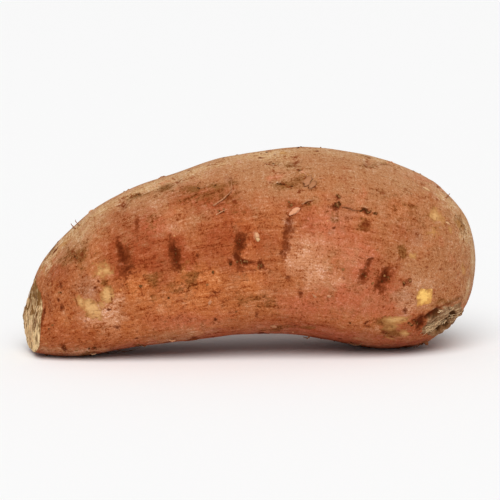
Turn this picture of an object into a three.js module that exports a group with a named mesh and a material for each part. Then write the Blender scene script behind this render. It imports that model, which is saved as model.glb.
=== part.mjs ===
// A sweet potato: one storage root, as it was dug and dried, in millimetres with +Z up.
// The root is an arch. It stands on its blunt cut end (-X) and on its round bulge (+X), and its front is -Y.
// The origin is below the middle of the root, on the surface that it stands on.
import * as THREE from "three";
import { mergeVertices } from "three/addons/utils/BufferGeometryUtils.js";

const { degToRad, radToDeg, euclideanModulo, smoothstep } = THREE.MathUtils;

// Driving dimensions
const LENGTH = 168; // overall, along X
const CUT_TURN = degToRad(12); // the cut face looks this far round to the front
const CUT_TURN_ENDS = 0.18; // share of the root over which the sections turn back square
const SECTION_SQUARE = 0.03; // how much squarer than an ellipse a section is
const SECTION_SAG = 0.1; // how far below its middle a section is widest, as a share of its height
const CUT_SAG = 0.1; // how much more than that at the cut
const STANCE_DEPTH = 0.9; // how much of the underside is flattened where the root stands

// The outline seen from the front, in pairs from the cut end to the tip: [x, z] on the back of the arch,
// [x, z] on its underside, and half of the root's depth there.
const STATIONS = [
  { back: [-80.8, 24.4], under: [-80.8, 0.9], depth: 14.4 },
  { back: [-74.0, 35.0], under: [-71.3, -0.6], depth: 18.6 },
  { back: [-65.4, 44.7], under: [-59.9, -0.6], depth: 22.6 },
  { back: [-53.6, 54.4], under: [-47.3, 1.1], depth: 26.4 },
  { back: [-39.7, 61.2], under: [-34.3, 2.6], depth: 28.8 },
  { back: [-24.8, 66.0], under: [-21.2, 4.0], depth: 30.2 },
  { back: [-9.9, 71.1], under: [-8.6, 5.3], depth: 31.0 },
  { back: [5.0, 73.4], under: [4.0, 5.7], depth: 31.4 },
  { back: [19.8, 74.7], under: [16.6, 5.0], depth: 32.0 },
  { back: [33.9, 73.5], under: [28.5, 3.0], depth: 32.6 },
  { back: [46.4, 71.1], under: [39.5, 0.6], depth: 32.6 },
  { back: [58.7, 66.6], under: [51.4, -1.1], depth: 31.0 },
  { back: [70.5, 60.6], under: [63.6, 0.2], depth: 27.2 },
  { back: [79.6, 51.0], under: [74.3, 6.2], depth: 20.6 },
  { back: [84.6, 40.2], under: [82.1, 15.4], depth: 11.0 },
];
const TIP = [85.8, 27.6];

// Slow swellings and hollows: the share of the root and the angle round it, the height, and the reach along
// the root (as a share of it) and round it (in degrees)
const SWELLINGS = [
  { at: 0.3, round: -60, height: 0.9, along: 0.1, around: 34 },
  { at: 0.62, round: -78, height: 1.1, along: 0.1, around: 36 },
  { at: 0.48, round: -30, height: -0.7, along: 0.06, around: 40 },
  { at: 0.78, round: 40, height: 1.0, along: 0.1, around: 45 },
  { at: 0.4, round: 70, height: -0.9, along: 0.09, around: 40 },
  { at: 0.2, round: 110, height: 0.7, along: 0.08, around: 40 },
  { at: 0.58, round: 120, height: 0.8, along: 0.12, around: 38 },
  { at: 0.12, round: -170, height: 0.6, along: 0.08, around: 22 },
];

// The root wanders to either side: how far, over how many waves, and how far into a wave it starts
const SIDEWAYS_BEND = 1.3;
const BEND_WAVES = 0.95;
const BEND_START = 0.12;

// Shallow furrows run along the root, one for each row of eyes. They wander, and die out at both ends.
const FURROWS = 5;
const FURROW_DEPTH = 0.45;
const FURROW_ROUND = degToRad(-90); // angle of the first furrow, on the front
const FURROW_WANDER = 0.25; // in radians
const FURROW_BENDS = 5; // radians of wander along the root
const FURROWS_BEGIN = [0, 0.1];
const FURROWS_END = [0.8, 0.95];

// Eyes: the scars of thin roots, short grooves that run round the root. Those on the front are each
// [share of the root, angle]. The other four rows hold theirs at drawn places.
const EYE_LENGTH = 9.5;
const EYE_WIDTH = 4.2;
const EYE_DEPTH = 1.2;
const EYE_LENGTH_LEAST = 0.75; // the shortest eye, as a share of EYE_LENGTH
const EYE_LENGTH_SPREAD = 0.4;
const EYE_LEAN_SPREAD = 0.5; // in radians
const FRONT_EYES = [
  [0.223, -72],
  [0.313, -79],
  [0.418, -86],
  [0.5, -82],
  [0.648, -94],
  [0.685, -97],
];
const HIDDEN_ROWS = [-18, 54, 126, 198]; // their angles
const HIDDEN_ROW_STARTS = 0.14;
const HIDDEN_ROW_LENGTH = 0.72;
const EYES_IN_HIDDEN_ROW = 5;
const EYE_PLACE_SPREAD = 0.5; // share of an eye's stretch of the row over which it may lie
const EYE_ROUND_SPREAD = 14; // in degrees

// Where each kind of draw starts in the row of random numbers
const DRAW_PLACE = 0;
const DRAW_ROUND = 50;
const DRAW_LENGTH = 70;
const DRAW_LEAN = 90;

// The dry scar where the root hung from its plant, low on the front of the bulge
const SCAR = { at: 0.823, round: -124, length: 25, width: 13, lean: degToRad(19), hollow: 1.9, rim: 0.9 };
const SCAR_RIM_REACH = 1.05; // the middle and half breadth of its swollen rim, as shares of its size
const SCAR_RIM_BREADTH = 0.5;

// The cut face has dry strands that run up and down it in two sizes, and a raised heart
const STRANDS = [
  { height: 0.35, across: 9, wave: 1.4, along: 3 },
  { height: 0.2, across: 17, wave: 0.6, along: 4 },
];
const HEART_HEIGHT = 0.5;
const CUT_EDGE_STARTS = 0.85; // share of the cut's radius where its relief starts to level out to the skin

// Grid: squares round the root on each of four sides, and along it
const SIDE_SQUARES = 20;
const LONG_SQUARES = 56;
const CAP_STARTS = 0.833; // share of the root where the round end's own grid begins
const RIM_ROW = 0.012; // the first row behind the cut, close to it so that its edge stays sharp
const DIRECTION_STEP = 0.002; // how far ahead the root is sampled for its directions
const MERGE_REACH = 1e-4;

const SKIN = new THREE.MeshStandardMaterial({ color: 0xa5633c, roughness: 0.72, metalness: 0 });

// A repeatable random number from 0 to 1 for each count
function draw(count) {
  const wave = Math.sin(count * 127.1 + 311.7) * 43758.5453;
  return wave - Math.floor(wave);
}

// 1 at the middle of a mark and 0 from its edge outwards, where reach is the distance as a share of its size
function fade(reach) {
  const inside = Math.max(0, 1 - reach * reach);
  return inside * inside;
}

const toPoint = ([x, z]) => new THREE.Vector3(x, 0, z);
const outline = new THREE.CatmullRomCurve3(
  [
    ...STATIONS.map((station) => toPoint(station.back)),
    toPoint(TIP),
    ...STATIONS.map((station) => toPoint(station.under)).reverse(),
  ],
  false,
  "centripetal",
);
const depths = STATIONS.map((station) => station.depth);
const depthCurve = new THREE.CatmullRomCurve3(
  [...depths, 0, ...depths.map((depth) => -depth).reverse()].map((depth) => new THREE.Vector3(depth, 0, 0)),
  false,
  "catmullrom",
);

// A point of the smooth root. at goes from 0 at the cut to 1 at the tip, and round is 0 on the back of the
// arch and -90 degrees on the front. reach is 1 on the skin, and less inside the cut face.
function rootPoint(at, round, reach = 1) {
  const back = outline.getPoint(at / 2);
  const under = outline.getPoint(1 - at / 2);
  const middle = back.clone().add(under).multiplyScalar(0.5);
  const up = back.clone().sub(under).multiplyScalar(0.5);
  const depth = depthCurve.getPoint(at / 2).x;
  const nearCut = 1 - smoothstep(at, 0, CUT_TURN_ENDS);
  const turn = CUT_TURN * nearCut;
  const acrossRoot = new THREE.Vector3(-Math.sin(turn), Math.cos(turn), 0);
  const high = (1 + SECTION_SQUARE) * Math.cos(round) - SECTION_SQUARE * Math.cos(3 * round);
  const wide = Math.sin(round) * (1 - (SECTION_SAG + CUT_SAG * nearCut) * Math.cos(round));
  const point = middle.addScaledVector(up, reach * high).addScaledVector(acrossRoot, reach * wide * depth);
  point.y += SIDEWAYS_BEND * Math.sin(2 * Math.PI * (BEND_WAVES * at + BEND_START));
  return point;
}

// Directions on the skin at a point: along the root, round it, and out of it
function directions(at, round) {
  const here = rootPoint(at, round);
  const along = rootPoint(Math.min(at + DIRECTION_STEP, 1), round).sub(here).normalize();
  const around = rootPoint(at, round + DIRECTION_STEP).sub(here).normalize();
  const out = along.clone().cross(around).normalize();
  return { here, along, around: out.clone().cross(along), out };
}

// A mark on the skin: its frame, turned by lean from along the root, with its half length and half width
function markOn(at, roundDegrees, length, width, lean) {
  const { here, along, around, out } = directions(at, degToRad(roundDegrees));
  const long = along.clone().multiplyScalar(Math.cos(lean)).addScaledVector(around, Math.sin(lean));
  return { here, long, broad: out.clone().cross(long), out, halfLength: length / 2, halfWidth: width / 2 };
}

// How far a point is from a mark's middle: 1 on the edge of its oval, and far off on the root's other side
function reachIn(mark, point) {
  const offset = point.clone().sub(mark.here);
  if (Math.abs(offset.dot(mark.out)) > mark.halfLength) return Infinity;
  return Math.hypot(offset.dot(mark.long) / mark.halfLength, offset.dot(mark.broad) / mark.halfWidth);
}

const eyePlaces = [...FRONT_EYES];
HIDDEN_ROWS.forEach((round, row) => {
  for (let eye = 0; eye < EYES_IN_HIDDEN_ROW; eye++) {
    const count = row * EYES_IN_HIDDEN_ROW + eye;
    const stretch = eye + EYE_PLACE_SPREAD * (0.5 + draw(DRAW_PLACE + count));
    const at = HIDDEN_ROW_STARTS + (HIDDEN_ROW_LENGTH * stretch) / EYES_IN_HIDDEN_ROW;
    eyePlaces.push([at, round + EYE_ROUND_SPREAD * (draw(DRAW_ROUND + count) - 0.5)]);
  }
});
const eyes = eyePlaces.map(([at, round], index) => {
  const lean = Math.PI / 2 + EYE_LEAN_SPREAD * (draw(DRAW_LEAN + index) - 0.5);
  const length = EYE_LENGTH * (EYE_LENGTH_LEAST + EYE_LENGTH_SPREAD * draw(DRAW_LENGTH + index));
  return markOn(at, round, length, EYE_WIDTH, lean);
});
const scar = markOn(SCAR.at, SCAR.round, SCAR.length, SCAR.width, SCAR.lean);

// Height that the slow swellings give the skin
function swellingHeight(at, round) {
  let height = 0;
  for (const swelling of SWELLINGS) {
    const turned = euclideanModulo(radToDeg(round) - swelling.round + 180, 360) - 180;
    const away = ((at - swelling.at) / swelling.along) ** 2 + (turned / swelling.around) ** 2;
    height += swelling.height * Math.exp(-away);
  }
  return height;
}

// Height of the skin above the smooth root
function skinRelief(at, round, point) {
  const furrowFade = smoothstep(at, ...FURROWS_BEGIN) * (1 - smoothstep(at, ...FURROWS_END));
  const furrowRound = round - FURROW_ROUND + FURROW_WANDER * Math.sin(FURROW_BENDS * at);
  let height = swellingHeight(at, round) - FURROW_DEPTH * furrowFade * Math.cos(FURROWS * furrowRound);
  for (const eye of eyes) height -= EYE_DEPTH * fade(reachIn(eye, point));
  const scarReach = reachIn(scar, point);
  height -= SCAR.hollow * fade(scarReach);
  height += SCAR.rim * fade((scarReach - SCAR_RIM_REACH) / SCAR_RIM_BREADTH);
  return height;
}

// Height of the cut face above its plane
function cutRelief(reach, round) {
  const rise = reach * Math.cos(round);
  const side = reach * Math.sin(round);
  let height = HEART_HEIGHT * (1 - reach);
  for (const strand of STRANDS) {
    height += strand.height * Math.sin(strand.across * side + strand.wave * Math.sin(strand.along * rise));
  }
  return height * (1 - smoothstep(reach, CUT_EDGE_STARTS, 1));
}

// The angle round a square grid of the point (up, side), even along each edge of the square
function angleInSquare(up, side) {
  if (up === 0 && side === 0) return 0;
  const quarter = Math.PI / 4;
  if (Math.abs(up) >= Math.abs(side)) return quarter * (side / up) + (up < 0 ? Math.PI : 0);
  return Math.PI / 2 - quarter * (up / side) + (side < 0 ? Math.PI : 0);
}

// Where a point of a box of side 2 goes on the root: its ends become the cut face and the round end
function placeOnRoot(corner) {
  const round = angleInSquare(corner.z, corner.y);
  const reach = Math.max(Math.abs(corner.y), Math.abs(corner.z));
  if (corner.x === -1 && reach < 1) {
    const normal = new THREE.Vector3(-Math.cos(CUT_TURN), -Math.sin(CUT_TURN), 0);
    return rootPoint(0, round, reach).addScaledVector(normal, cutRelief(reach, round));
  }
  let at = 1 - reach * (1 - CAP_STARTS);
  if (corner.x < 1) {
    const row = ((corner.x + 1) / 2) * LONG_SQUARES;
    at = row < 1 ? row * RIM_ROW : RIM_ROW + ((row - 1) / (LONG_SQUARES - 1)) * (CAP_STARTS - RIM_ROW);
  }
  if (at >= 1) return rootPoint(1, 0);
  const point = rootPoint(at, round);
  return point.addScaledVector(directions(at, round).out, skinRelief(at, round, point));
}

// Splits each four-sided face of a grid along its shorter diagonal, so that no sliver is left
function splitOnShortDiagonals(geometry) {
  const places = geometry.getAttribute("position");
  const order = geometry.getIndex();
  const corner = (count) => new THREE.Vector3().fromBufferAttribute(places, count);
  for (let face = 0; face < order.count; face += 6) {
    const [a, b, d] = [order.getX(face), order.getX(face + 1), order.getX(face + 2)];
    const c = order.getX(face + 4);
    if (corner(a).distanceTo(corner(c)) >= corner(b).distanceTo(corner(d))) continue;
    [a, b, c, a, c, d].forEach((vertex, place) => order.setX(face + place, vertex));
  }
}

function rootGeometry() {
  const box = new THREE.BoxGeometry(2, 2, 2, LONG_SQUARES, SIDE_SQUARES, SIDE_SQUARES);
  box.deleteAttribute("normal");
  box.deleteAttribute("uv");
  const geometry = mergeVertices(box, MERGE_REACH);
  const places = geometry.getAttribute("position");
  const corner = new THREE.Vector3();
  for (let index = 0; index < places.count; index++) {
    corner.fromBufferAttribute(places, index);
    const point = placeOnRoot(corner);
    places.setXYZ(index, point.x, point.y, point.z);
  }
  splitOnShortDiagonals(geometry);
  return geometry;
}

// Scales the root to its length, centres it over the origin and flattens its underside where it stands
function standOnSurface(geometry) {
  geometry.computeBoundingBox();
  const size = geometry.boundingBox.getSize(new THREE.Vector3());
  const middle = geometry.boundingBox.getCenter(new THREE.Vector3());
  const scale = LENGTH / size.x;
  const lowest = geometry.boundingBox.min.z;
  geometry.translate(-middle.x, -middle.y, -lowest);
  geometry.scale(scale, scale, scale);
  const places = geometry.getAttribute("position");
  for (let index = 0; index < places.count; index++) {
    places.setZ(index, Math.max(places.getZ(index) - STANCE_DEPTH, 0));
  }
  geometry.computeVertexNormals();
  return geometry;
}

const sweetPotato = new THREE.Group();
const root = new THREE.Mesh(standOnSurface(rootGeometry()), SKIN);
root.name = "sweet_potato";
sweetPotato.add(root);

export default sweetPotato;
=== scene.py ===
"""A sweet potato: its skin, scars, dead roots and soil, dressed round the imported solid. In metres, +Z up."""
import math

import bpy
import numpy as np
from mathutils import Matrix, Vector, noise
from mathutils.bvhtree import BVHTree


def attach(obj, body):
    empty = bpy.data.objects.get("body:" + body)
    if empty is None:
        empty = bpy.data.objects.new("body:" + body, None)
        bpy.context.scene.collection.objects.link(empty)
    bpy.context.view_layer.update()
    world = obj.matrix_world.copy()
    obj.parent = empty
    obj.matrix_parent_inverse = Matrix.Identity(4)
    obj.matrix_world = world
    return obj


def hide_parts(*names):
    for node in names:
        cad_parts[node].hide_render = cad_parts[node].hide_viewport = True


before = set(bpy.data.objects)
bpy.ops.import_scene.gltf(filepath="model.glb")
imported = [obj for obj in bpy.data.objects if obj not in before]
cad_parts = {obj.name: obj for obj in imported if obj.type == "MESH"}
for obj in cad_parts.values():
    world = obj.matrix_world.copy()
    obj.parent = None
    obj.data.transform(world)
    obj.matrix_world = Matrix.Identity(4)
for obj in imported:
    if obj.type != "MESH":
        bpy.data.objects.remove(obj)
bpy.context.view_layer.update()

MM = 0.001
SOLID = "sweet_potato"

# The camera, as the photograph was taken
IMAGE_SIDE = 500  # pixels
IMAGE_MIDDLE = IMAGE_SIDE / 2
METRES_PER_PIXEL = 0.3675 * MM  # at the camera's target
CAMERA_DISTANCE = 0.7
CAMERA_AZIMUTH = math.radians(-5)
CAMERA_ELEVATION = math.radians(8)
CAMERA_ROLL = math.radians(-0.6)
CAMERA_TARGET = Vector((0, 0, 0.0372))
SENSOR = 36  # mm

# Sections from part.mjs, cut end to tip, in mm: x and z on the arch's back, x and z below it, half the depth
STATIONS = [
    (-80.8, 24.4, -80.8, 0.9, 14.4),
    (-74.0, 35.0, -71.3, -0.6, 18.6),
    (-65.4, 44.7, -59.9, -0.6, 22.6),
    (-53.6, 54.4, -47.3, 1.1, 26.4),
    (-39.7, 61.2, -34.3, 2.6, 28.8),
    (-24.8, 66.0, -21.2, 4.0, 30.2),
    (-9.9, 71.1, -8.6, 5.3, 31.0),
    (5.0, 73.4, 4.0, 5.7, 31.4),
    (19.8, 74.7, 16.6, 5.0, 32.0),
    (33.9, 73.5, 28.5, 3.0, 32.6),
    (46.4, 71.1, 39.5, 0.6, 32.6),
    (58.7, 66.6, 51.4, -1.1, 31.0),
    (70.5, 60.6, 63.6, 0.2, 27.2),
    (79.6, 51.0, 74.3, 6.2, 20.6),
    (84.6, 40.2, 82.1, 15.4, 11.0),
    (85.8, 27.6, 85.8, 27.6, 0.0),
]
STATION_SHIFT = (-1.0, 1.1, 0.55)  # from part.mjs's outline to the finished solid
STATION_SCALE = 0.989
FLATTENING = 0.1  # the sections are a little wider below than above

# The rows of eyes that the photograph doesn't show well, as part.mjs hollows them
HIDDEN_ROWS = (-18, 54, 126, 198)  # degrees round the root
EYES_IN_HIDDEN_ROW = 5
EYES_START = 0.14  # shares of the way along the root
EYES_SPAN = 0.72
ROW_WANDER = 14  # degrees
EYE_LEAN = math.degrees(0.5)
EYE_LENGTH = 9.5  # mm
EYE_WIDTHS = (2.0, 3.4)  # mm
EYE_STRENGTHS = (0.8, 1.1)
TOP_ROW_STRENGTH = 0.5  # the eyes along the back are faint

SEED = 41
random_numbers = np.random.default_rng(SEED)
noise.seed_set(SEED)  # or else the noise directions change from run to run


# Helpers for objects


def deselect_all():
    """Clears the selection, because every operator acts on all that is selected."""
    for thing in bpy.context.selected_objects:
        thing.select_set(False)


def make_active(thing):
    deselect_all()
    thing.select_set(True)
    bpy.context.view_layer.objects.active = thing


def finish_modifiers(thing):
    make_active(thing)
    for modifier in list(thing.modifiers):
        bpy.ops.object.modifier_apply(modifier=modifier.name)


def linear(red, green, blue):
    """A colour given in the 0 to 255 values of a screen, as the light that it reflects."""
    def one(level):
        share = level / 255
        return share / 12.92 if share <= 0.04045 else ((share + 0.055) / 1.055) ** 2.4
    return (one(red), one(green), one(blue), 1.0)


def smoothstep(values, low, high):
    share = np.clip((values - low) / (high - low), 0, 1)
    return share * share * (3 - 2 * share)


def draw(count):
    """The repeatable random number from 0 to 1 that part.mjs draws."""
    wave = math.sin(count * 127.1 + 311.7) * 43758.5453
    return wave - math.floor(wave)


# Camera


def camera_axes():
    """Directions from the target back to the camera, to the image's right, and up it."""
    back = Vector((
        math.sin(CAMERA_AZIMUTH) * math.cos(CAMERA_ELEVATION),
        -math.cos(CAMERA_AZIMUTH) * math.cos(CAMERA_ELEVATION),
        math.sin(CAMERA_ELEVATION),
    ))
    level = (-back).cross(Vector((0, 0, 1))).normalized()
    upright = level.cross(-back)
    right = level * math.cos(CAMERA_ROLL) + upright * math.sin(CAMERA_ROLL)
    up = upright * math.cos(CAMERA_ROLL) - level * math.sin(CAMERA_ROLL)
    return back, right, up


CAMERA_BACK, CAMERA_RIGHT, CAMERA_UP = camera_axes()
CAMERA_PLACE = CAMERA_TARGET + CAMERA_BACK * CAMERA_DISTANCE


def add_camera():
    lens = bpy.data.cameras.new("camera")
    lens.sensor_width = SENSOR
    lens.lens = SENSOR * CAMERA_DISTANCE / METRES_PER_PIXEL / IMAGE_SIDE
    lens.clip_start = 0.01
    lens.clip_end = 100
    camera = bpy.data.objects.new("camera", lens)
    bpy.context.scene.collection.objects.link(camera)
    turn = Matrix((CAMERA_RIGHT, CAMERA_UP, CAMERA_BACK)).transposed()
    camera.matrix_world = Matrix.Translation(CAMERA_PLACE) @ turn.to_4x4()
    bpy.context.scene.camera = camera


# The root's own surface
SPINE_STEPS = 60
SAME_PLACE = 0.001 * MM
FLAT_ENOUGH = math.radians(60)


def root_point(at, degrees_round):
    """A point of the plain root, in metres: at is 0 on the cut and 1 on the tip.

    degrees_round is 0 on the back of the arch and -90 in front.
    """
    row = min(max(at, 0), 0.9999) * (len(STATIONS) - 1)
    first = int(row)
    section = [a + (b - a) * (row - first) for a, b in zip(STATIONS[first], STATIONS[first + 1])]
    back_x, back_z, under_x, under_z, depth = section
    up = math.cos(math.radians(degrees_round))
    side = math.sin(math.radians(degrees_round)) * (1 - FLATTENING * up)
    point = Vector((
        (back_x + under_x) / 2 + up * (back_x - under_x) / 2,
        side * depth,
        (back_z + under_z) / 2 + up * (back_z - under_z) / 2,
    ))
    return (point * STATION_SCALE + Vector(STATION_SHIFT)) * MM


def spine_points():
    """Points down the middle of the root, close together, with one far beyond each end."""
    middles = [root_point(step / SPINE_STEPS, 90) for step in range(SPINE_STEPS - 3)]
    for middle in middles:
        middle.y = 0
    first, last = middles[0] - middles[3], middles[-1] - middles[-4]
    return np.array([middles[0] + first * 20, *middles, middles[-1] + last * 20])


def straightened(places):
    """Places on the root with its bend drawn out straight: along it, up from its middle, and to the side."""
    spine = spine_points()
    starts, ends = spine[:-1], spine[1:]
    steps = ends - starts
    lengths = np.linalg.norm(steps, axis=1)
    travelled = np.concatenate([[0], np.cumsum(lengths)[:-1]]) - lengths[0]
    flat = places.copy()
    flat[:, 1] = 0
    offset = flat[:, None, :] - starts[None]
    share = np.clip(np.einsum("ijk,jk->ij", offset, steps) / lengths**2, 0, 1)
    away = np.linalg.norm(offset - share[..., None] * steps[None], axis=2)
    nearest = np.argmin(away, axis=1)
    rows = np.arange(len(places))
    along = travelled[nearest] + share[rows, nearest] * lengths[nearest]
    step = steps[nearest] / lengths[nearest][:, None]
    gap = flat - starts[nearest]
    up = step[:, 0] * gap[:, 2] - step[:, 2] * gap[:, 0]
    return np.column_stack([along, up, places[:, 1]])


def skin_of_root():
    """The solid's own surface, merged, with four-sided faces, and refined."""
    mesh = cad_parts[SOLID].data.copy()
    mesh.materials.clear()
    root = bpy.data.objects.new("root_skin", mesh)
    bpy.context.scene.collection.objects.link(root)
    make_active(root)
    bpy.ops.object.mode_set(mode="EDIT")
    bpy.ops.mesh.select_all(action="SELECT")
    bpy.ops.mesh.remove_doubles(threshold=SAME_PLACE)
    bpy.ops.mesh.tris_convert_to_quads(face_threshold=FLAT_ENOUGH, shape_threshold=FLAT_ENOUGH)
    bpy.ops.object.mode_set(mode="OBJECT")
    for name in list(root.data.attributes.keys()):
        attribute = root.data.attributes.get(name)
        if attribute is not None and not attribute.is_required and not attribute.is_internal:
            root.data.attributes.remove(attribute)
    refine = root.modifiers.new("refine", "SUBSURF")
    refine.levels = refine.render_levels = 2
    finish_modifiers(root)
    root.data.shade_smooth()
    return root


def places_of(mesh):
    places = np.empty(len(mesh.vertices) * 3)
    mesh.vertices.foreach_get("co", places)
    return places.reshape(-1, 3)


def normals_of(mesh):
    normals = np.empty(len(mesh.vertices) * 3)
    mesh.vertices.foreach_get("normal", normals)
    return normals.reshape(-1, 3)


def wander(places):
    """A smooth random direction at each place, up to about 1 long."""
    return np.array([noise.noise_vector(Vector(place)) for place in places])


def noise_at(places, seed=0):
    """Smooth noise from about -1 to 1 at each place, in units of its grain."""
    shift = Vector((17.3 * seed, -9.1 * seed, 5.7 * seed))
    return np.array([noise.noise(Vector(place) + shift) for place in places])


# Marks on the skin
MARK_FADES = 2.6  # a mark has no effect past this many half lengths
MARK_DEPTH = 3 * MM  # a mark has no effect further below the skin than this, unless it is longer
FAR = 99.0
BROAD_RAG = 0.55  # how far a mark's edge wanders, as shares of its half width
FINE_RAG = 0.5
BROAD_RAG_SIZE = 3.2 * MM
FINE_RAG_SIZE = 1.1 * MM


class Mark:
    """A ragged oval on the skin, with a direction along it, one across it and one out of it."""

    def __init__(self, here, long, out, half_length, half_width, strength=1.0):
        self.here = np.array(here)
        self.out = np.array(out)
        long = np.array(long) - self.out * np.dot(long, self.out)
        self.long = long / np.linalg.norm(long)
        self.broad = np.cross(self.out, self.long)
        self.half_length = half_length
        self.half_width = half_width
        self.strength = strength

    def reach(self, skin):
        """The skin's points near the mark, and how far they are from its middle: 1 on its edge."""
        offset = skin.places - self.here
        near = np.flatnonzero(np.einsum("ij,ij->i", offset, offset) < (MARK_FADES * self.half_length) ** 2)
        bend = self.half_width * (BROAD_RAG * skin.broad_rag[near] + FINE_RAG * skin.fine_rag[near])
        offset = offset[near] + bend
        away = np.hypot(offset @ self.long / self.half_length, offset @ self.broad / self.half_width)
        away[np.abs(offset @ self.out) > max(self.half_length, MARK_DEPTH)] = FAR
        return near, away


class Skin:
    """The root's refined surface, on which marks are placed."""

    def __init__(self, root):
        self.faces = [tuple(face.vertices) for face in root.data.polygons]
        self.normals = normals_of(root.data)
        self.take_shape(places_of(root.data))
        self.broad_rag = wander(self.places / BROAD_RAG_SIZE)
        self.fine_rag = wander(self.places / FINE_RAG_SIZE)

    def take_shape(self, places):
        self.places = places
        self.tree = BVHTree.FromPolygons([Vector(place) for place in places], self.faces)

    def at_pixel(self, across, down):
        """The place on the skin that the photograph shows at a pixel, and its outward direction."""
        aim = CAMERA_TARGET + (
            CAMERA_RIGHT * (across - IMAGE_MIDDLE) + CAMERA_UP * (IMAGE_MIDDLE - down)
        ) * METRES_PER_PIXEL
        place, out, _, _ = self.tree.ray_cast(CAMERA_PLACE, (aim - CAMERA_PLACE).normalized())
        if place is None:
            place, out, _, _ = self.tree.find_nearest(aim)
        return place, out

    def at_root(self, at, degrees_round):
        place, out, _, _ = self.tree.find_nearest(root_point(at, degrees_round))
        return place, out

    def stroke(self, x1, y1, x2, y2, width, strength=1.0):
        """A mark whose long axis runs between two pixels of the photograph; its width is in pixels too."""
        first, _ = self.at_pixel(x1, y1)
        last, _ = self.at_pixel(x2, y2)
        middle, out = self.at_pixel((x1 + x2) / 2, (y1 + y2) / 2)
        half_width = width / 2 * METRES_PER_PIXEL
        span = last - first
        if span.length < half_width / 4:
            span = CAMERA_RIGHT * half_width
        return Mark(middle, span, out, max(span.length / 2, half_width), half_width, strength)

    def mark_on_root(self, at, degrees_round, length, width, lean=0.0, strength=1.0):
        """A mark by its share of the root and angle round it. lean is in degrees from along the root."""
        middle, out = self.at_root(at, degrees_round)
        along = root_point(min(at + 0.03, 0.999), degrees_round) - root_point(at - 0.03, degrees_round)
        along = (along - out * along.dot(out)).normalized()
        around = out.cross(along)
        turn = math.radians(lean)
        long = along * math.cos(turn) + around * math.sin(turn)
        return Mark(middle, long, out, length / 2, width / 2, strength)


def closeness(marks, skin):
    """1 in the middle of a mark, a half on its edge and 0 at twice its size, for a shader to roughen."""
    best = np.zeros(len(skin.places))
    for mark in marks:
        near, away = mark.reach(skin)
        best[near] = np.maximum(best[near], mark.strength * np.clip(1 - away / 2, 0, 1))
    return best


# Marks as the photograph shows them: x and y of one end and of the other, width, all in pixels, and strength
EYES = [
    (117.5, 240, 122.5, 258, 5, 1.25), (121, 251, 126, 267, 11, 1.3), (123, 262, 128, 277, 12, 1.05),
    (172.5, 241, 174.5, 262, 6, 1.2), (174, 246, 178, 268, 9, 1.1), (178.5, 260, 180, 270, 5, 1.15),
    (239, 234, 240, 252, 9, 1.2), (237, 246, 239, 268, 8, 1.2), (242, 258, 243, 267, 7, 1.1),
    (289.5, 218, 287, 238, 7, 0.95), (287, 234, 284.5, 256, 7, 0.95), (371, 259, 366, 270, 4.5, 1.15),
    (366, 269, 360.5, 283, 7, 1.15), (388.5, 269, 382.5, 275, 9, 1.15), (385.5, 272, 384, 284, 9, 1.25),
    (382, 281, 378.5, 291, 8, 1.1), (301.5, 290, 300.5, 302, 3.5, 0.8), (136.5, 214, 137, 234, 4, 0.75),
    (367, 220, 365, 233, 8, 0.65),
]
BLOTS = [
    (240, 261, 248, 263, 6, 1.0), (246, 264, 256, 261, 3.5, 0.8), (256, 262, 263, 263, 4.5, 0.9),
    (260, 264, 263.5, 270, 5, 0.9), (250, 270, 256, 271, 2.5, 0.7), (228, 258, 232, 265, 5, 0.75),
    (200, 254, 196, 258, 4, 0.8), (337.5, 196, 338.5, 198, 4, 1.0), (333, 209, 340, 204, 7.5, 1.1),
    (362, 209, 370, 214, 5.5, 1.15), (374, 213, 377.5, 214.5, 3.5, 1.05),
    (333, 229, 335.5, 228, 3, 0.95), (402.7, 283.2, 405.3, 283.6, 4.6, 1.05),
    (407, 281, 411.5, 280.2, 4, 1.05), (395.5, 261.5, 400, 259.5, 5, 0.75),
    (404, 309.5, 405, 312, 5, 0.9), (366.5, 288, 367.5, 288.5, 2, 0.9), (383, 331, 385, 332, 5, 0.9),
    (390, 336, 393.5, 338, 5, 0.95), (60, 281, 61.5, 287, 4, 0.95), (58.5, 298, 58.5, 302, 3, 0.9),
    (61.5, 304, 62.5, 311, 4, 0.9), (63, 345, 64.5, 351, 5, 1.0), (91, 348, 96, 348, 5, 0.9),
    (132, 345, 142, 344, 4, 0.9), (134, 337.5, 138, 338, 4, 0.75), (72, 249, 76, 262, 6, 0.6),
    (78, 252, 83, 258, 5, 0.55), (94.5, 288, 95.5, 288.5, 3, 1.0), (98, 280, 99, 281.5, 3.5, 0.9),
    (107, 309.5, 111, 310.5, 2.6, 0.95), (147.5, 248, 148, 248.5, 2.4, 0.9),
    (214, 291.5, 215, 292, 3, 0.95), (256.5, 310, 256.8, 318, 3.5, 0.8), (286, 277, 290, 279, 5, 0.75),
    (293, 325, 296, 326, 3.5, 0.8), (416, 235, 418, 236.5, 4, 0.75), (439, 268, 443, 268.5, 7, 0.55),
    (453, 269.5, 456, 269.5, 5, 0.6), (297, 170, 302, 170.5, 2.4, 0.95),
    (279, 182.5, 287, 185.5, 3.5, 0.85), (289, 186, 293, 186.5, 2.6, 0.85),
    (297, 192.5, 300, 191.5, 2.6, 0.9), (288, 204, 292, 207, 4, 0.9), (304, 204, 313, 201, 3, 0.9),
    (218, 212.5, 223, 211, 2.4, 0.9), (232, 199.5, 237, 202, 2.4, 0.95),
    (41, 304, 39.8, 328, 3.5, 0.95), (40, 290, 41, 303, 2, 0.6), (33, 278, 31.5, 290, 2.2, 0.85),
]
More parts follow.
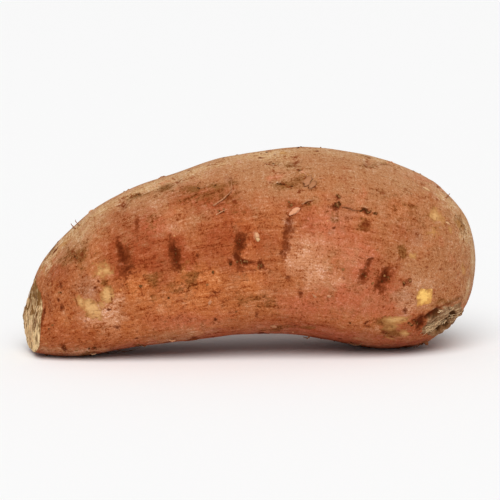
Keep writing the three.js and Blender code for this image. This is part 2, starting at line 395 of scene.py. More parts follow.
# Cracks, and painted shadows just beside the rootlets and the grit, as thin dark lines
CRACKS_AND_SHADOWS = [
    (342, 207, 352, 209.5, 1.3, 0.8), (351, 209, 362, 211.5, 1.3, 0.8),
    (215, 291.5, 225, 290.5, 1.2, 0.7), (264, 164, 281, 166, 1.6, 0.75),
    (218, 245, 218, 258, 1.6, 0.55), (111.7, 289, 111.7, 308, 1.5, 0.75), (73, 293, 78, 307, 2, 0.8),
    (59, 343, 72, 342.5, 1.2, 0.7), (392, 221, 408, 228, 1.5, 0.6),
    (303.6, 179, 306.5, 175.8, 2.0, 1.1), (313, 179.5, 316.8, 184, 1.8, 0.95),
    (316.8, 184, 314, 189.6, 1.8, 0.95), (306, 188.5, 312, 186, 1.6, 0.85),
    (297.3, 171.3, 302.6, 169.3, 2.2, 1.15), (300, 173.5, 304, 174.5, 1.4, 0.7),
    (297.4, 193, 301, 190.3, 2.2, 1.1), (288.3, 186.8, 293.5, 187.2, 1.8, 1.05),
    (215, 207.2, 226, 201.5, 1.8, 1.15), (226, 201, 231.5, 195, 2.2, 1.05),
    (232.3, 195, 233, 185, 2.0, 0.95), (211, 203, 214, 206, 1.4, 0.8),
    (232.8, 199, 236.8, 203.3, 3.2, 1.15), (218.5, 213.5, 226, 210, 2.2, 1.05),
    (288.5, 204.8, 297, 203.6, 2.4, 0.95), (300.8, 205.5, 299.3, 213, 2.0, 0.85),
    (289, 215, 294, 216.4, 1.4, 0.9), (302.5, 205.5, 312, 201, 2.6, 0.9),
    (395, 264, 400, 262.4, 1.2, 0.7), (404, 260.5, 411, 258.8, 1.2, 0.6),
    (288, 209, 291, 205, 1.8, 0.8), (303, 205, 313, 201, 1.8, 0.9), (264, 163, 282, 166.5, 1.6, 0.8),
    (285, 187, 293, 186, 1.6, 0.9), (328, 178, 340, 176, 1.2, 0.5), (318, 166, 330, 169, 1.2, 0.4),
    (373, 164, 392, 166, 1.6, 0.8), (352, 159, 372, 160.5, 1.4, 0.6),
]
PEELS = [
    (98, 263, 102, 277, 16, 0.78), (107, 264, 107, 276, 11, 0.85), (75, 298, 84, 305, 7, 1.2),
    (84, 303, 97, 313, 14, 1.25), (88, 304, 100, 317, 11, 1.15), (88, 300, 92, 308, 9, 0.9),
    (106, 288, 107.5, 300, 10, 1.5), (98, 303, 106, 305, 9, 0.85), (386, 321, 407, 319.5, 8, 1.3),
    (384, 327, 402, 326, 10, 0.75), (403, 330, 405, 337, 8, 0.9), (386, 337, 396, 340, 6, 0.7),
    (410, 256, 416, 255, 6, 1.0), (431, 212, 443, 219, 16, 1.0), (437, 224, 432, 238, 13, 0.65),
    (455, 219, 463, 230, 9, 0.75), (449, 226, 452, 234, 5, 0.8), (462, 262, 465, 276, 6, 0.7),
    (300, 168, 316, 186, 12, 0.55), (57, 250, 70, 240, 8, 0.6), (42, 265, 46, 275, 5, 0.7),
]
PALES = [
    (322, 284, 350, 280, 14, 0.7), (86, 300, 104, 318, 18, 0.8), (80, 312, 98, 326, 14, 0.7),
    (100, 330, 122, 334, 14, 0.5), (322, 329, 340, 334, 10, 0.4), (326, 248, 338, 258, 14, 0.4),
    (96, 317, 120, 317, 20, 1.35), (104, 306, 114, 324, 18, 1.25), (113, 296, 120, 308, 14, 0.9),
    (255, 233, 258.5, 240, 5, 0.9), (406, 288, 410, 311, 17, 1.2), (409, 286, 416, 290, 10, 0.8),
    (414, 283, 434, 284, 8, 0.5), (290, 252, 318, 262, 30, 0.95), (298, 242, 338, 250, 36, 0.55),
    (300, 275, 328, 270, 26, 0.9), (342, 250, 362, 262, 20, 0.6), (410, 280, 438, 288, 18, 0.9),
    (404, 292, 412, 312, 16, 0.9), (262, 290, 280, 296, 20, 0.35), (455, 278, 462, 286, 12, 0.5),
    (145, 196, 160, 204, 16, 0.6), (272, 170, 290, 172, 14, 0.4), (200, 205, 212, 222, 16, 0.3),
    (165, 226, 180, 232, 12, 0.5),
]
NICKS = [
    (423.5, 293, 426, 304.5, 12, 1.25), (421, 291, 424, 297, 8, 1.15),
    (428.5, 289.5, 431, 301, 6, 0.95), (418, 291, 418.5, 304, 6, 0.85),
]
# Broad changes of tone
# Paler khaki strokes along the upper outline and at the round end
KHAKI_STROKES = [
    (42, 271, 58, 246, 22, 1.2), (58, 246, 84, 221, 22, 1.1), (72, 241, 96, 226, 24, 0.6),
    (84, 221, 120, 198, 20, 1.0), (120, 197, 170, 179, 20, 0.9), (170, 178, 232, 160, 22, 0.8),
    (232, 157, 300, 152, 22, 0.9), (262, 161, 300, 166, 14, 0.5), (300, 151, 360, 156, 18, 0.5),
    (360, 156, 400, 166, 18, 0.5), (436, 189, 460, 213, 26, 0.95), (460, 213, 471, 244, 28, 1.0),
    (472, 244, 473, 278, 16, 0.9), (472, 276, 464, 300, 12, 0.8),
]
ORANGES = [
    (182, 285, 222, 292, 34, 1.2), (122, 296, 148, 282, 30, 1.0), (215, 228, 268, 226, 26, 0.45),
    (236, 283, 262, 286, 24, 0.9), (160, 214, 190, 208, 26, 0.4), (140, 308, 250, 312, 34, 0.9),
    (60, 310, 72, 330, 22, 0.6), (100, 330, 150, 328, 18, 0.6), (330, 316, 400, 322, 22, 0.7),
    (225, 250, 262, 252, 26, 0.5),
]
ROSES = [
    (306, 222, 350, 226, 44, 0.8), (340, 245, 372, 262, 36, 0.9), (325, 298, 400, 304, 36, 1.2),
    (262, 192, 300, 200, 26, 0.45), (150, 222, 168, 228, 22, 0.5), (150, 322, 230, 320, 22, 0.7),
    (285, 300, 320, 312, 24, 0.9), (340, 190, 420, 205, 40, 0.4), (205, 190, 250, 180, 22, 0.5),
]
REDS = [
    (142, 214, 158, 228, 18, 1.0), (222, 216, 238, 228, 18, 1.0), (242, 232, 256, 244, 14, 0.9),
    (302, 216, 318, 232, 18, 0.9), (183, 262, 196, 272, 14, 1.0), (173, 238, 178, 272, 26, 1.3),
    (118, 240, 127, 280, 24, 1.3), (239, 230, 241, 270, 28, 1.3), (368, 258, 361, 286, 18, 1.1),
    (387, 266, 380, 294, 24, 1.2), (240, 262, 264, 266, 12, 0.8), (392, 226, 416, 240, 26, 0.7),
    (280, 200, 298, 210, 18, 0.5), (322, 232, 388, 240, 18, 0.45), (288, 204, 300, 214, 16, 0.9),
    (302, 214, 314, 226, 16, 0.8), (152, 276, 164, 284, 16, 0.8), (112, 230, 152, 262, 46, 1.2),
    (134, 214, 158, 240, 34, 1.1), (140, 268, 168, 262, 28, 1.0), (182, 246, 192, 280, 24, 1.1),
    (205, 238, 262, 242, 36, 1.2), (228, 262, 256, 262, 20, 0.8), (200, 246, 215, 268, 22, 0.8),
    (166, 192, 244, 210, 34, 1.1), (108, 220, 140, 212, 26, 0.8), (270, 228, 288, 250, 18, 0.6),
    (364, 264, 396, 288, 30, 0.95), (352, 268, 372, 285, 26, 0.8), (40, 300, 54, 340, 24, 0.55),
    (44, 264, 62, 276, 24, 0.9), (60, 334, 96, 340, 16, 0.4), (250, 322, 345, 332, 22, 0.9),
    (180, 336, 250, 330, 14, 0.6), (402, 322, 430, 340, 28, 1.1), (360, 334, 410, 344, 16, 0.7),
]
OLIVES = [
    (376, 206, 432, 212, 34, 0.34), (300, 214, 312, 232, 16, 0.3), (236, 298, 272, 302, 15, 0.5),
    (150, 278, 157, 281, 12, 0.8), (150, 297, 158, 299, 8, 0.6), (158, 188, 174, 186, 11, 0.95),
    (185, 189, 202, 188, 9, 0.95), (207, 186, 226, 186, 10, 0.9), (160, 192, 246, 200, 26, 0.42),
    (276, 184, 294, 186, 9, 0.95), (262, 163, 300, 166, 9, 0.5), (282, 172, 320, 184, 26, 0.4),
    (128, 199, 152, 191, 7, 0.95), (62, 254, 90, 252, 18, 0.6), (74, 248, 82, 264, 12, 0.8),
    (399, 249, 406, 253, 9, 0.95), (228, 181, 236, 184, 8, 0.7), (330, 210, 336, 222, 9, 0.5),
    (455, 214, 466, 232, 14, 0.8), (386, 325, 392, 337, 15, 0.95), (84, 212, 112, 200, 14, 0.4),
    (142, 216, 158, 228, 16, 0.4), (282, 202, 298, 210, 14, 0.35), (438, 305, 459, 300, 6, 0.75),
    (100, 266, 104, 276, 10, 0.5), (162, 280, 178, 290, 14, 0.55), (184, 262, 194, 284, 18, 0.6),
    (302, 168, 318, 176, 18, 0.35), (350, 184, 408, 190, 26, 0.25), (122, 282, 138, 292, 14, 0.3),
    (360, 168, 384, 164, 8, 0.6), (302, 204, 318, 200, 7, 0.7), (361, 219, 367, 232, 9, 0.8),
    (98, 276, 108, 288, 8, 0.7),
]
GREYS = [
    (82, 276, 96, 300, 24, 0.65), (334, 214, 336, 224, 9, 0.8), (329, 231, 332, 233, 8, 0.7),
    (287, 217, 291, 232, 9, 0.9), (398, 290, 412, 300, 22, 0.65), (410, 272, 404, 260, 14, 0.4),
    (416, 232, 420, 246, 12, 0.7), (300, 334, 250, 333, 10, 0.8), (232, 252, 236, 262, 10, 0.5),
    (226, 176, 233, 184, 9, 0.7), (324, 204, 354, 222, 30, 0.5),
]

# Slow swellings: x and y in pixels, radius and height in mm
SWELLINGS = [
    (44, 266, 6, 0.4), (56, 250, 9, 0.4), (470, 215, 9, 0.4), (392, 164, 6, 0.5), (425, 345, 4, 0.5),
]

# The scars at both ends
SCAR_LINE = (421, 329.5, 463, 306)  # pixels, along its length
SCAR_WIDTH = 26
SCABS = [
    (423.5, 326, 423.5, 332, 6, 1.1), (427.5, 316, 430.5, 332, 9.5, 1.15),
    (433.5, 310, 438.5, 331.5, 11.5, 1.15), (441, 306.5, 446, 327.5, 11, 1.1),
    (448.5, 304.5, 453, 320, 11, 1.1), (456, 303, 459.5, 314, 9, 1.1),
]
# Hollows and holes in the stem scar, sunk into the relief and given painted shade
HOLLOWS = [
    (421.8, 317.5, 419.5, 328.5, 7, 1.2), (411, 320.5, 420, 321.5, 5.5, 0.75),
    (424.5, 318.5, 439, 309, 5.5, 1.2), (438, 307, 452, 302.5, 3, 0.55),
    (443.5, 318.5, 446, 324.5, 7.5, 1.6), (450, 311.5, 452, 317, 6, 1.5),
    (437, 325, 438.5, 329, 4.5, 1.3), (426.5, 323, 436, 312.5, 5, 0.75),
]
CUT_PLACE = np.array((-80.8, 0, 12.6)) * MM  # the middle of the cut face
CUT_TURN = math.radians(12)
CUT_OUT = np.array([-math.cos(CUT_TURN), -math.sin(CUT_TURN), 0])
CUT_SHOULDERS = [(33.6, 276, 32.8, 292, 5.5, 1.0), (34, 286, 36, 302, 4, 1.0)]
CUT_SUNK = 1.7  # mm that the upper half of the cut has sunk in
CUT_SUNK_AT = 21  # mm above the ground
CUT_SUNK_OVER = 6.5  # mm up and down from there

# Where marks lie at random, in degrees round the root and in shares of the way along it
HIDDEN_FROM = -20
HIDDEN_TO = 240
HIDDEN_ALONG = (0.04, 0.95)
NICKS_FROM = 30

# Each kind of mark: its strokes, and the number, lengths, widths, leans and strengths of more elsewhere
MARKS = {
    "eye": (EYES, None),
    "blot": (BLOTS, (90, (0.8, 3.2), (0.7, 1.6), (0, 180), (0.6, 1.1))),
    "scab": (SCABS, None),
    "hollow": (HOLLOWS, None),
    "greyed": (GREYS, None),
    "crack_and_shadow": (CRACKS_AND_SHADOWS, (24, (3, 9), (0.4, 0.7), (-25, 25), (0.5, 0.9))),
    "peel": (PEELS, (16, (3, 9), (2, 5), (0, 180), (0.6, 1.05))),
    "pale": (PALES, (14, (8, 22), (6, 14), (-30, 30), (0.4, 0.9))),
    "khaki_marks": (KHAKI_STROKES, (12, (14, 34), (8, 16), (-25, 25), (0.4, 0.8))),
    "nick": (NICKS, (3, (3, 5), (2, 4), (0, 180), (0.8, 1.0), NICKS_FROM)),
    "orange": (ORANGES, (16, (12, 28), (8, 16), (-30, 30), (0.5, 1.0))),
    "rose": (ROSES, (14, (12, 30), (8, 16), (-30, 30), (0.5, 1.0))),
    "red": (REDS, (16, (12, 30), (8, 16), (-30, 30), (0.5, 1.0))),
    "olive": (OLIVES, (30, (3, 14), (2, 6), (-40, 40), (0.5, 0.95))),
}


def spread_marks(skin, count, lengths, widths, leans, strengths, hidden_from=HIDDEN_FROM):
    """Marks at random on the sides that the photograph doesn't show."""
    some = random_numbers
    marks = []
    for _ in range(count):
        at = some.uniform(*HIDDEN_ALONG)
        degrees_round = some.uniform(hidden_from, HIDDEN_TO)
        length = some.uniform(*lengths) * MM
        width = min(some.uniform(*widths) * MM, length)
        lean = some.uniform(*leans)
        marks.append(skin.mark_on_root(at, degrees_round, length, width, lean, some.uniform(*strengths)))
    return marks


def hidden_eyes(skin):
    """Eyes where part.mjs hollows them, in the rows beside, behind and below."""
    marks = []
    for row, degrees_round in enumerate(HIDDEN_ROWS):
        for eye in range(EYES_IN_HIDDEN_ROW):
            count = row * EYES_IN_HIDDEN_ROW + eye
            at = EYES_START + EYES_SPAN * (eye + 0.5 * (0.5 + draw(count))) / EYES_IN_HIDDEN_ROW
            turned = degrees_round + ROW_WANDER * (draw(50 + count) - 0.5)
            lean = 90 + EYE_LEAN * (draw(96 + count) - 0.5)
            length = EYE_LENGTH * (0.75 + 0.4 * draw(76 + count)) * MM
            width = random_numbers.uniform(*EYE_WIDTHS) * MM
            strength = random_numbers.uniform(*EYE_STRENGTHS) * (TOP_ROW_STRENGTH if row == 0 else 1)
            marks.append(skin.mark_on_root(at, turned, length, width, lean, strength))
    return marks


def paint_marks(root, skin):
    """Stores the marks on the root as numbers that its material reads, and returns them for the relief."""
    marks = {}
    for name, (strokes, elsewhere) in MARKS.items():
        marks[name] = [skin.stroke(*row) for row in strokes]
        if name == "eye":
            marks[name] += hidden_eyes(skin)
        if elsewhere:
            marks[name] += spread_marks(skin, *elsewhere)
        store(root.data, name, closeness(marks[name], skin))
    return marks


def store(mesh, name, values):
    attribute = mesh.attributes.new(name, "FLOAT", "POINT")
    attribute.data.foreach_set("value", np.asarray(values, dtype=float))


def store_vectors(mesh, name, values):
    attribute = mesh.attributes.new(name, "FLOAT_VECTOR", "POINT")
    attribute.data.foreach_set("vector", np.asarray(values, dtype=float).ravel())


# Relief: heights and depths in mm, and sizes of noise in mm along the root, up from its middle and sideways
LUMPS = [(15, 0.32, 1), (6, 0.12, 2)]  # size, height and seed
WRINKLE_SIZES = (16, 2.6, 2.6)
WRINKLE_HEIGHT = 0.10
FOLD_SIZES = (5, 1.9, 1.9)
FOLD_HEIGHT = 0.05
GRAIN_SIZE = 1.3
EYE_DEPTH = 0.40
EYE_RIM = 0.16
EYE_RIM_AT = 1.5  # reaches of the eye, where 1 is its edge
EYE_RIM_OVER = 0.6
BLOT_HEIGHT = 0.22
# Sunken marks: depth, how far grain roughens the edge, and the closeness at which it starts and is full
SUNKEN = {
    "crack_and_shadow": (0.12, 0.0, 0.3, 0.8),
    "peel": (0.16, 0.2, 0.42, 0.56),
    "nick": (0.45, 0.12, 0.42, 0.6),
    "hollow": (1.1, 0.0, 0.4, 0.8),
}
BARK_SIZES = (9, 1.5, 4)  # along the scar, across it and out of it
BARK_HEIGHT = 0.6
BARK_FIBRES = 0.7
CUT_FIBRE_SIZES = (4, 1.3, 7)  # along X, Y and Z
CUT_FIBRES = 0.55


def long_noise(columns, sizes, seed):
    """Noise whose grain has its own size, in mm, along each of three directions."""
    return noise_at(np.column_stack([column / (size * MM) for column, size in zip(columns, sizes)]), seed)


def skin_relief(skin, marks, straight):
    """How far the skin stands out at each point, in mm: lumps, wrinkles, eyes, blots and sunken marks."""
    relief = sum(height * noise_at(skin.places / (size * MM), seed) for size, height, seed in LUMPS)
    relief += WRINKLE_HEIGHT * (0.35 - np.abs(long_noise(straight.T, WRINKLE_SIZES, 3)))
    relief += FOLD_HEIGHT * long_noise(straight.T, FOLD_SIZES, 4)
    for across, down, radius, height in SWELLINGS:
        middle, _ = skin.at_pixel(across, down)
        away = np.linalg.norm(skin.places - np.array(middle), axis=1) / (radius * MM)
        relief += height * np.exp(-away**2)
    for eye in marks["eye"]:
        near, reach = eye.reach(skin)
        relief[near] -= EYE_DEPTH * eye.strength * np.clip(1 - reach**2, 0, 1)
        relief[near] += EYE_RIM * np.clip(1 - ((reach - EYE_RIM_AT) / EYE_RIM_OVER) ** 2, 0, 1)
    grain = noise_at(skin.places / (GRAIN_SIZE * MM), 5)
    blot = closeness(marks["blot"], skin) + 0.12 * grain
    relief += BLOT_HEIGHT * smoothstep(blot, 0.45, 0.7) * (0.6 + grain)
    for name, (depth, rag, low, high) in SUNKEN.items():
        relief -= depth * smoothstep(closeness(marks[name], skin) + rag * grain, low, high)
    return relief


def bark_relief(skin, marks, scar_lines):
    """How far the bark of the stem scar stands out, in mm."""
    inside = smoothstep(closeness(marks["scab"], skin), 0.45, 0.6)
    fibres = long_noise(scar_lines.T, BARK_SIZES, 6)
    return inside * (BARK_HEIGHT + BARK_FIBRES * (0.5 - np.abs(fibres) * 2))


def cut_share(skin):
    """1 on the cut face and 0 elsewhere."""
    facing = smoothstep(skin.normals @ CUT_OUT, 0.4, 0.75)
    cut = facing * smoothstep((skin.places - CUT_PLACE) @ CUT_OUT, -1.4 * MM, -0.5 * MM)
    shoulders = [skin.stroke(*row) for row in CUT_SHOULDERS]
    return np.maximum(cut, smoothstep(closeness(shoulders, skin), 0.42, 0.55))


def cut_sinking(places):
    """How far the upper half of the cut face has sunk in, in mm."""
    sunk = CUT_SUNK * np.exp(-((places[:, 2] / MM - CUT_SUNK_AT) / CUT_SUNK_OVER) ** 2)
    face = CUT_PLACE @ CUT_OUT
    return sunk * smoothstep(places @ CUT_OUT, face - 6 * MM, face - 1 * MM)


def sculpt(root, skin, marks, scar):
    """Moves the root's points out and in, and stores the directions that its material's fibres follow."""
    places = skin.places
    straight = straightened(places)
    offset = places - scar.here
    scar_lines = np.column_stack([offset @ scar.long, offset @ scar.broad, offset @ scar.out])
    cut = cut_share(skin)
    cut_fibres = long_noise(places.T, CUT_FIBRE_SIZES, 7)
    relief = skin_relief(skin, marks, straight) + bark_relief(skin, marks, scar_lines)
    relief += cut * CUT_FIBRES * (0.4 - np.abs(cut_fibres) * 1.8)
    moved = places + (skin.normals * relief[:, None] - CUT_OUT * cut_sinking(places)[:, None]) * MM
    moved[:, 2] = np.maximum(moved[:, 2], 0)
    root.data.vertices.foreach_set("co", moved.ravel())
    root.data.update()
    store(root.data, "cut", cut)
    store_vectors(root.data, "straight", straight)
    store_vectors(root.data, "scar_lines", scar_lines)
    skin.take_shape(moved)


# Materials


class Reading:
    """A number that varies over a surface, held as a shader socket that can be reckoned with."""

    def __init__(self, paint, socket):
        self.paint = paint
        self.socket = socket

    def _math(self, operation, *values):
        node = self.paint.node("ShaderNodeMath", {"operation": operation}, dict(enumerate(values)))
        return Reading(self.paint, node.outputs[0])

    def __add__(self, other):
        return self._math("ADD", self, other)

    def __sub__(self, other):
        return self._math("SUBTRACT", self, other)

    def __rsub__(self, other):
        return self._math("SUBTRACT", other, self)

    def __mul__(self, other):
        return self._math("MULTIPLY", self, other)

    __radd__ = __add__
    __rmul__ = __mul__

    def most(self, other):
        return self._math("MAXIMUM", self, other)

    def between(self, low, high):
        """0 below low and 1 above high, with an eased edge."""
        node = self.paint.node(
            "ShaderNodeMapRange", {"interpolation_type": "SMOOTHSTEP", "clamp": True},
            {"Value": self, "From Min": low, "From Max": high, "To Min": 0.0, "To Max": 1.0},
        )
        return Reading(self.paint, node.outputs[0])


class Paint:
    """A material and the nodes that it is painted with."""

    def __init__(self, name):
        self.material = bpy.data.materials.new(name)
        self.material.use_nodes = True
        self.tree = self.material.node_tree
        self.tree.nodes.clear()

    def node(self, kind, settings, inputs):
        node = self.tree.nodes.new(kind)
        for name, value in settings.items():
            setattr(node, name, value)
        for name, value in inputs.items():
            socket = node.inputs[name]
            if isinstance(value, Reading):
                self.tree.links.new(value.socket, socket)
            elif isinstance(value, bpy.types.NodeSocket):
                self.tree.links.new(value, socket)
            else:
                socket.default_value = value
        return node

    def object_place(self):
        return self.node("ShaderNodeTexCoord", {}, {}).outputs["Object"]

    def stored(self, name):
        node = self.node("ShaderNodeAttribute", {"attribute_name": name}, {})
        return Reading(self, node.outputs["Fac"])

    def ragged(self, name, noise):
        """A stored mark with its edge roughened by noise, which does nothing away from the mark."""
        mark = self.stored(name)
        return mark + noise * mark.between(0.0, 0.25)

    def stored_vector(self, name):
        return self.node("ShaderNodeAttribute", {"attribute_name": name}, {}).outputs["Vector"]

    def moved(self, vector, by):
        return self.node("ShaderNodeVectorMath", {"operation": "ADD"}, {0: vector, 1: by}).outputs[0]

    def parts_of(self, vector):
        """A vector's three numbers."""
        node = self.node("ShaderNodeSeparateXYZ", {}, {0: vector})
        return [Reading(self, socket) for socket in node.outputs]

    def stretched(self, vector, factors):
        node = self.node("ShaderNodeVectorMath", {"operation": "MULTIPLY"}, {0: vector, 1: factors})
        return node.outputs[0]

    def mottle(self, vector, scale, detail=2.0, roughness=0.5, distortion=0.0):
        node = self.node("ShaderNodeTexNoise", {}, {
            "Vector": vector, "Scale": scale, "Detail": detail,
            "Roughness": roughness, "Distortion": distortion,
        })
        return Reading(self, node.outputs["Fac"])

    def cells(self, vector, scale):
        """How far it is to the nearest of scattered middles, and a number from 0 to 1 that each one draws."""
        node = self.node("ShaderNodeTexVoronoi", {}, {"Vector": vector, "Scale": scale})
        drawn = self.node("ShaderNodeSeparateColor", {}, {0: node.outputs["Color"]})
        return Reading(self, node.outputs["Distance"]), Reading(self, drawn.outputs[0])

    def mix(self, under, over, factor):
        node = self.node("ShaderNodeMix", {"data_type": "RGBA"}, {0: factor, 6: under, 7: over})
        return node.outputs[2]

    def shade(self, colour, factor, by):
        """Multiplies a colour by another where factor is 1."""
        settings = {"data_type": "RGBA", "blend_type": "MULTIPLY"}
        node = self.node("ShaderNodeMix", settings, {0: factor, 6: colour, 7: by})
        return node.outputs[2]

    def bump(self, height, distance, strength):
        inputs = {"Height": height, "Distance": distance, "Strength": strength}
        return self.node("ShaderNodeBump", {}, inputs).outputs[0]

    def finish(self, colour, roughness, normal, specular):
        inputs = {"Base Color": colour, "Roughness": roughness, "Specular IOR Level": specular}
        if normal is not None:
            inputs["Normal"] = normal
        surface = self.node("ShaderNodeBsdfPrincipled", {}, inputs)
        self.node("ShaderNodeOutputMaterial", {}, {"Surface": surface.outputs[0]})
        return self.material


# Colours
SKIN_MEAN = linear(172, 99, 56)
SKIN_ORANGE = linear(190, 108, 57)
SKIN_RED = linear(150, 68, 34)
SKIN_ROSE = linear(186, 98, 64)
SKIN_TAN = linear(170, 116, 76)
SKIN_RIM_TAN = linear(198, 152, 110)
SKIN_OLIVE = linear(122, 74, 30)
SKIN_PALE = linear(206, 144, 104)
# Painted shade for the skin's underside
SKIN_UNDERSIDE_SHADE = linear(146, 60, 40)
SKIN_GREY = linear(168, 116, 84)
WRINKLE_SHADE = (0.50, 0.24, 0.06, 1.0)  # what the colour is multiplied by at the bottom of a wrinkle
RIDGE_LIGHT = (1.5, 2.15, 3.3, 1.0)  # what it is multiplied by on top of a ridge
EYE_EDGE = linear(122, 54, 22)
EYE_DARK = linear(86, 30, 6)
SKIN_KHAKI = linear(206, 166, 120)
PEELED = linear(184, 130, 76)
PEELED_BRIGHT = linear(220, 172, 112)
FLESH = linear(246, 196, 110)
FLESH_PALE = linear(206, 148, 78)
BARK = linear(142, 102, 70)
BARK_BROWN = linear(124, 84, 52)
SOIL = linear(146, 99, 57)
SOIL_DARK = linear(84, 44, 16)
GRIT_TAN = linear(160, 104, 64)
GRIT_ROSE = linear(208, 144, 106)
GRIT_YELLOW = linear(208, 166, 118)
BARK_LIGHT = linear(218, 184, 142)
BARK_DARK = linear(66, 36, 12)
CUT_CREAM = linear(236, 202, 152)
CUT_GREY = linear(138, 97, 57)
CUT_OLIVE = linear(122, 82, 40)
ROOTLET_BROWN = linear(150, 92, 58)
ROOTLET_PALE = linear(212, 148, 108)

# How fine each noise is, in grains to the metre
CLOUDS = 50
WIDE_PATCHES = 120
PATCHES = 170
WIDE_LINES = 330
SPOTS = 420
TICKS = 620
GRAIN = 1000
LINES = 1000
FINE = 2300
DARK_SPECKS = 330
LIGHT_SPECKS = 520
BARK_FIBRES_FINE = 900
CUT_FIBRES_FINE = 850
OTHER_PLACE = (0.31, 0.17, 0.53)  # metres away, where the noise is another

# How much shorter a noise is read along some directions, so that its grain is drawn out along them
ALONG_ROOT = (0.17, 1, 1)
ROUND_ROOT = (1, 0.22, 0.22)
A_LITTLE_ALONG_ROOT = (0.6, 1, 1)
ALONG_SCAR = (0.2, 1, 1)
UP_CUT = (1, 1, 0.09)

# How little each finish shines
SKIN_SHINE = 0.04
DRY_ROOT_SHINE = 0.06
SOIL_SHINE = 0.04
GRIT_SHINE = 0.3
FLOOR_SHINE = 0.1


def skin_material():
    paint = Paint("potato_skin")
    here = paint.object_place()
    straight = paint.stored_vector("straight")
    lengthwise = paint.stretched(straight, ALONG_ROOT)
    crosswise = paint.stretched(straight, ROUND_ROOT)

    # Noise at the sizes of the skin's own marks, each from about -0.3 to 0.3
    clouds = paint.mottle(here, CLOUDS, 3, 0.55) - 0.5
    patches = paint.mottle(here, PATCHES, 5, 0.62, 0.5) - 0.5
    other_patches = paint.mottle(paint.moved(here, OTHER_PLACE), WIDE_PATCHES, 5, 0.62, 0.4) - 0.5
    grain = paint.mottle(here, GRAIN, 3, 0.65) - 0.5
    fine = paint.mottle(here, FINE, 2, 0.6) - 0.5
    spots = paint.mottle(paint.stretched(straight, A_LITTLE_ALONG_ROOT), SPOTS, 3, 0.6, 0.6) - 0.5
    lines = paint.mottle(lengthwise, LINES, 3, 0.62, 0.7) - 0.5
    wide_lines = paint.mottle(lengthwise, WIDE_LINES, 4, 0.65, 1.0) - 0.5
    ticks = paint.mottle(crosswise, TICKS, 2, 0.55) - 0.5

    # Broad tones
    uneven = 1.1 * patches + 0.8 * clouds + 0.4 * spots
    red = paint.stored("red") + 0.9 * clouds + 0.7 * other_patches
    colour = paint.mix(SKIN_MEAN, SKIN_RED, red.between(-0.05, 0.95) * 0.95)
    colour = paint.mix(colour, SKIN_ORANGE, (paint.stored("orange") + uneven).between(0.0, 1.0) * 0.95)
    colour = paint.mix(colour, SKIN_ROSE, (paint.stored("rose") + 0.7 * uneven).between(0.0, 1.0) * 0.95)
    pale = (paint.stored("pale") + 0.7 * patches + 0.5 * grain).between(0.05, 0.9)
    colour = paint.mix(colour, SKIN_PALE, pale * 0.85)

    # Paler tan where the skin faces up, on the back of the arch, and dust at the round end
    facing = paint.parts_of(paint.node("ShaderNodeNewGeometry", {}, {}).outputs["Normal"])
    place = paint.parts_of(here)
    washed = 1 - 0.9 * paint.stored("red") - 0.6 * paint.stored("orange")
    tan_on_top = (facing[2] + 1.1 * other_patches + 0.6 * clouds).between(0.15, 0.85)
    end_dust = (place[0] * 12 + 1.0 * other_patches + 0.7 * clouds).between(0.25, 0.75)
    top_tan_and_end_dust = (tan_on_top * 0.85).most(end_dust * 0.62) * washed
    colour = paint.mix(colour, SKIN_TAN, top_tan_and_end_dust)
    # Paler towards the upper rim, where the skin turns from the front to the back, and less so on the back
    # itself
    pale_rim = (facing[1] + 0.2 * facing[0] + 1.1 * patches + 0.9 * clouds + 0.6 * spots).between(-0.8, 0.3)
    pale_rim = pale_rim * facing[2].between(-0.4, 0.1)
    behind = (facing[1] - 0.5 * facing[2] + 0.8 * clouds + 0.6 * other_patches).between(0.05, 0.6)
    colour = paint.mix(colour, SKIN_RIM_TAN, pale_rim * (0.85 - 0.7 * behind))
    # Paler khaki strokes along the upper outline and at the round end
    khaki = paint.stored("khaki_marks") + 1.1 * patches + 0.7 * spots + 0.4 * grain + 0.4 * clouds
    colour = paint.mix(colour, SKIN_KHAKI, khaki.between(0.0, 0.95) * 0.85)
    # Painted shade: darker, redder skin where it faces down
    under = (-0.92 - facing[2] + 0.5 * patches + 0.3 * clouds).between(-0.25, 0.15)
    colour = paint.mix(colour, SKIN_UNDERSIDE_SHADE, under * 0.8)

    # Patches of red and tan a few millimetres wide
    colour = paint.mix(colour, SKIN_RED, (patches + 0.5 * grain).between(0.02, 0.26) * 0.55)
    colour = paint.mix(colour, SKIN_TAN, (other_patches + 0.5 * grain).between(0.02, 0.26) * 0.5)
    colour = paint.mix(colour, SKIN_ROSE, (clouds - other_patches).between(0.12, 0.4) * 0.45)
    greyed = paint.stored("greyed") + 0.6 * patches + 0.4 * grain
    colour = paint.mix(colour, SKIN_GREY, greyed.between(0.15, 0.75) * 0.7)

    # Soil stains
    olive = paint.ragged("olive", 1.2 * patches + 1.0 * spots + 0.9 * grain + 0.9 * wide_lines)
    colour = paint.mix(colour, SKIN_OLIVE, olive.between(0.12, 0.72) * 0.78)
    stain = (other_patches + 0.6 * spots + 0.5 * grain + 0.6 * wide_lines).between(0.16, 0.5)
    colour = paint.mix(colour, SKIN_OLIVE, stain * 0.5)

    # Wrinkles hold dirt and painted shade, and the ridges between them are rubbed pale and given painted light
    calm = (1 - 0.75 * top_tan_and_end_dust) * (1 - 0.55 * paint.stored("rose").between(0.1, 0.6))
    tone = (1.0 * lines + 0.8 * wide_lines + 0.5 * spots) * calm + 0.45 * patches + 0.2 * spots
    tone += 0.95 * grain * (1 - 0.3 * top_tan_and_end_dust) + 1.2 * fine - 0.35 * ticks
    colour = paint.shade(colour, (tone * 2.6).between(0.0, 1.1), WRINKLE_SHADE)
    colour = paint.shade(colour, (tone * -1.9).between(0.0, 1.1), RIDGE_LIGHT)

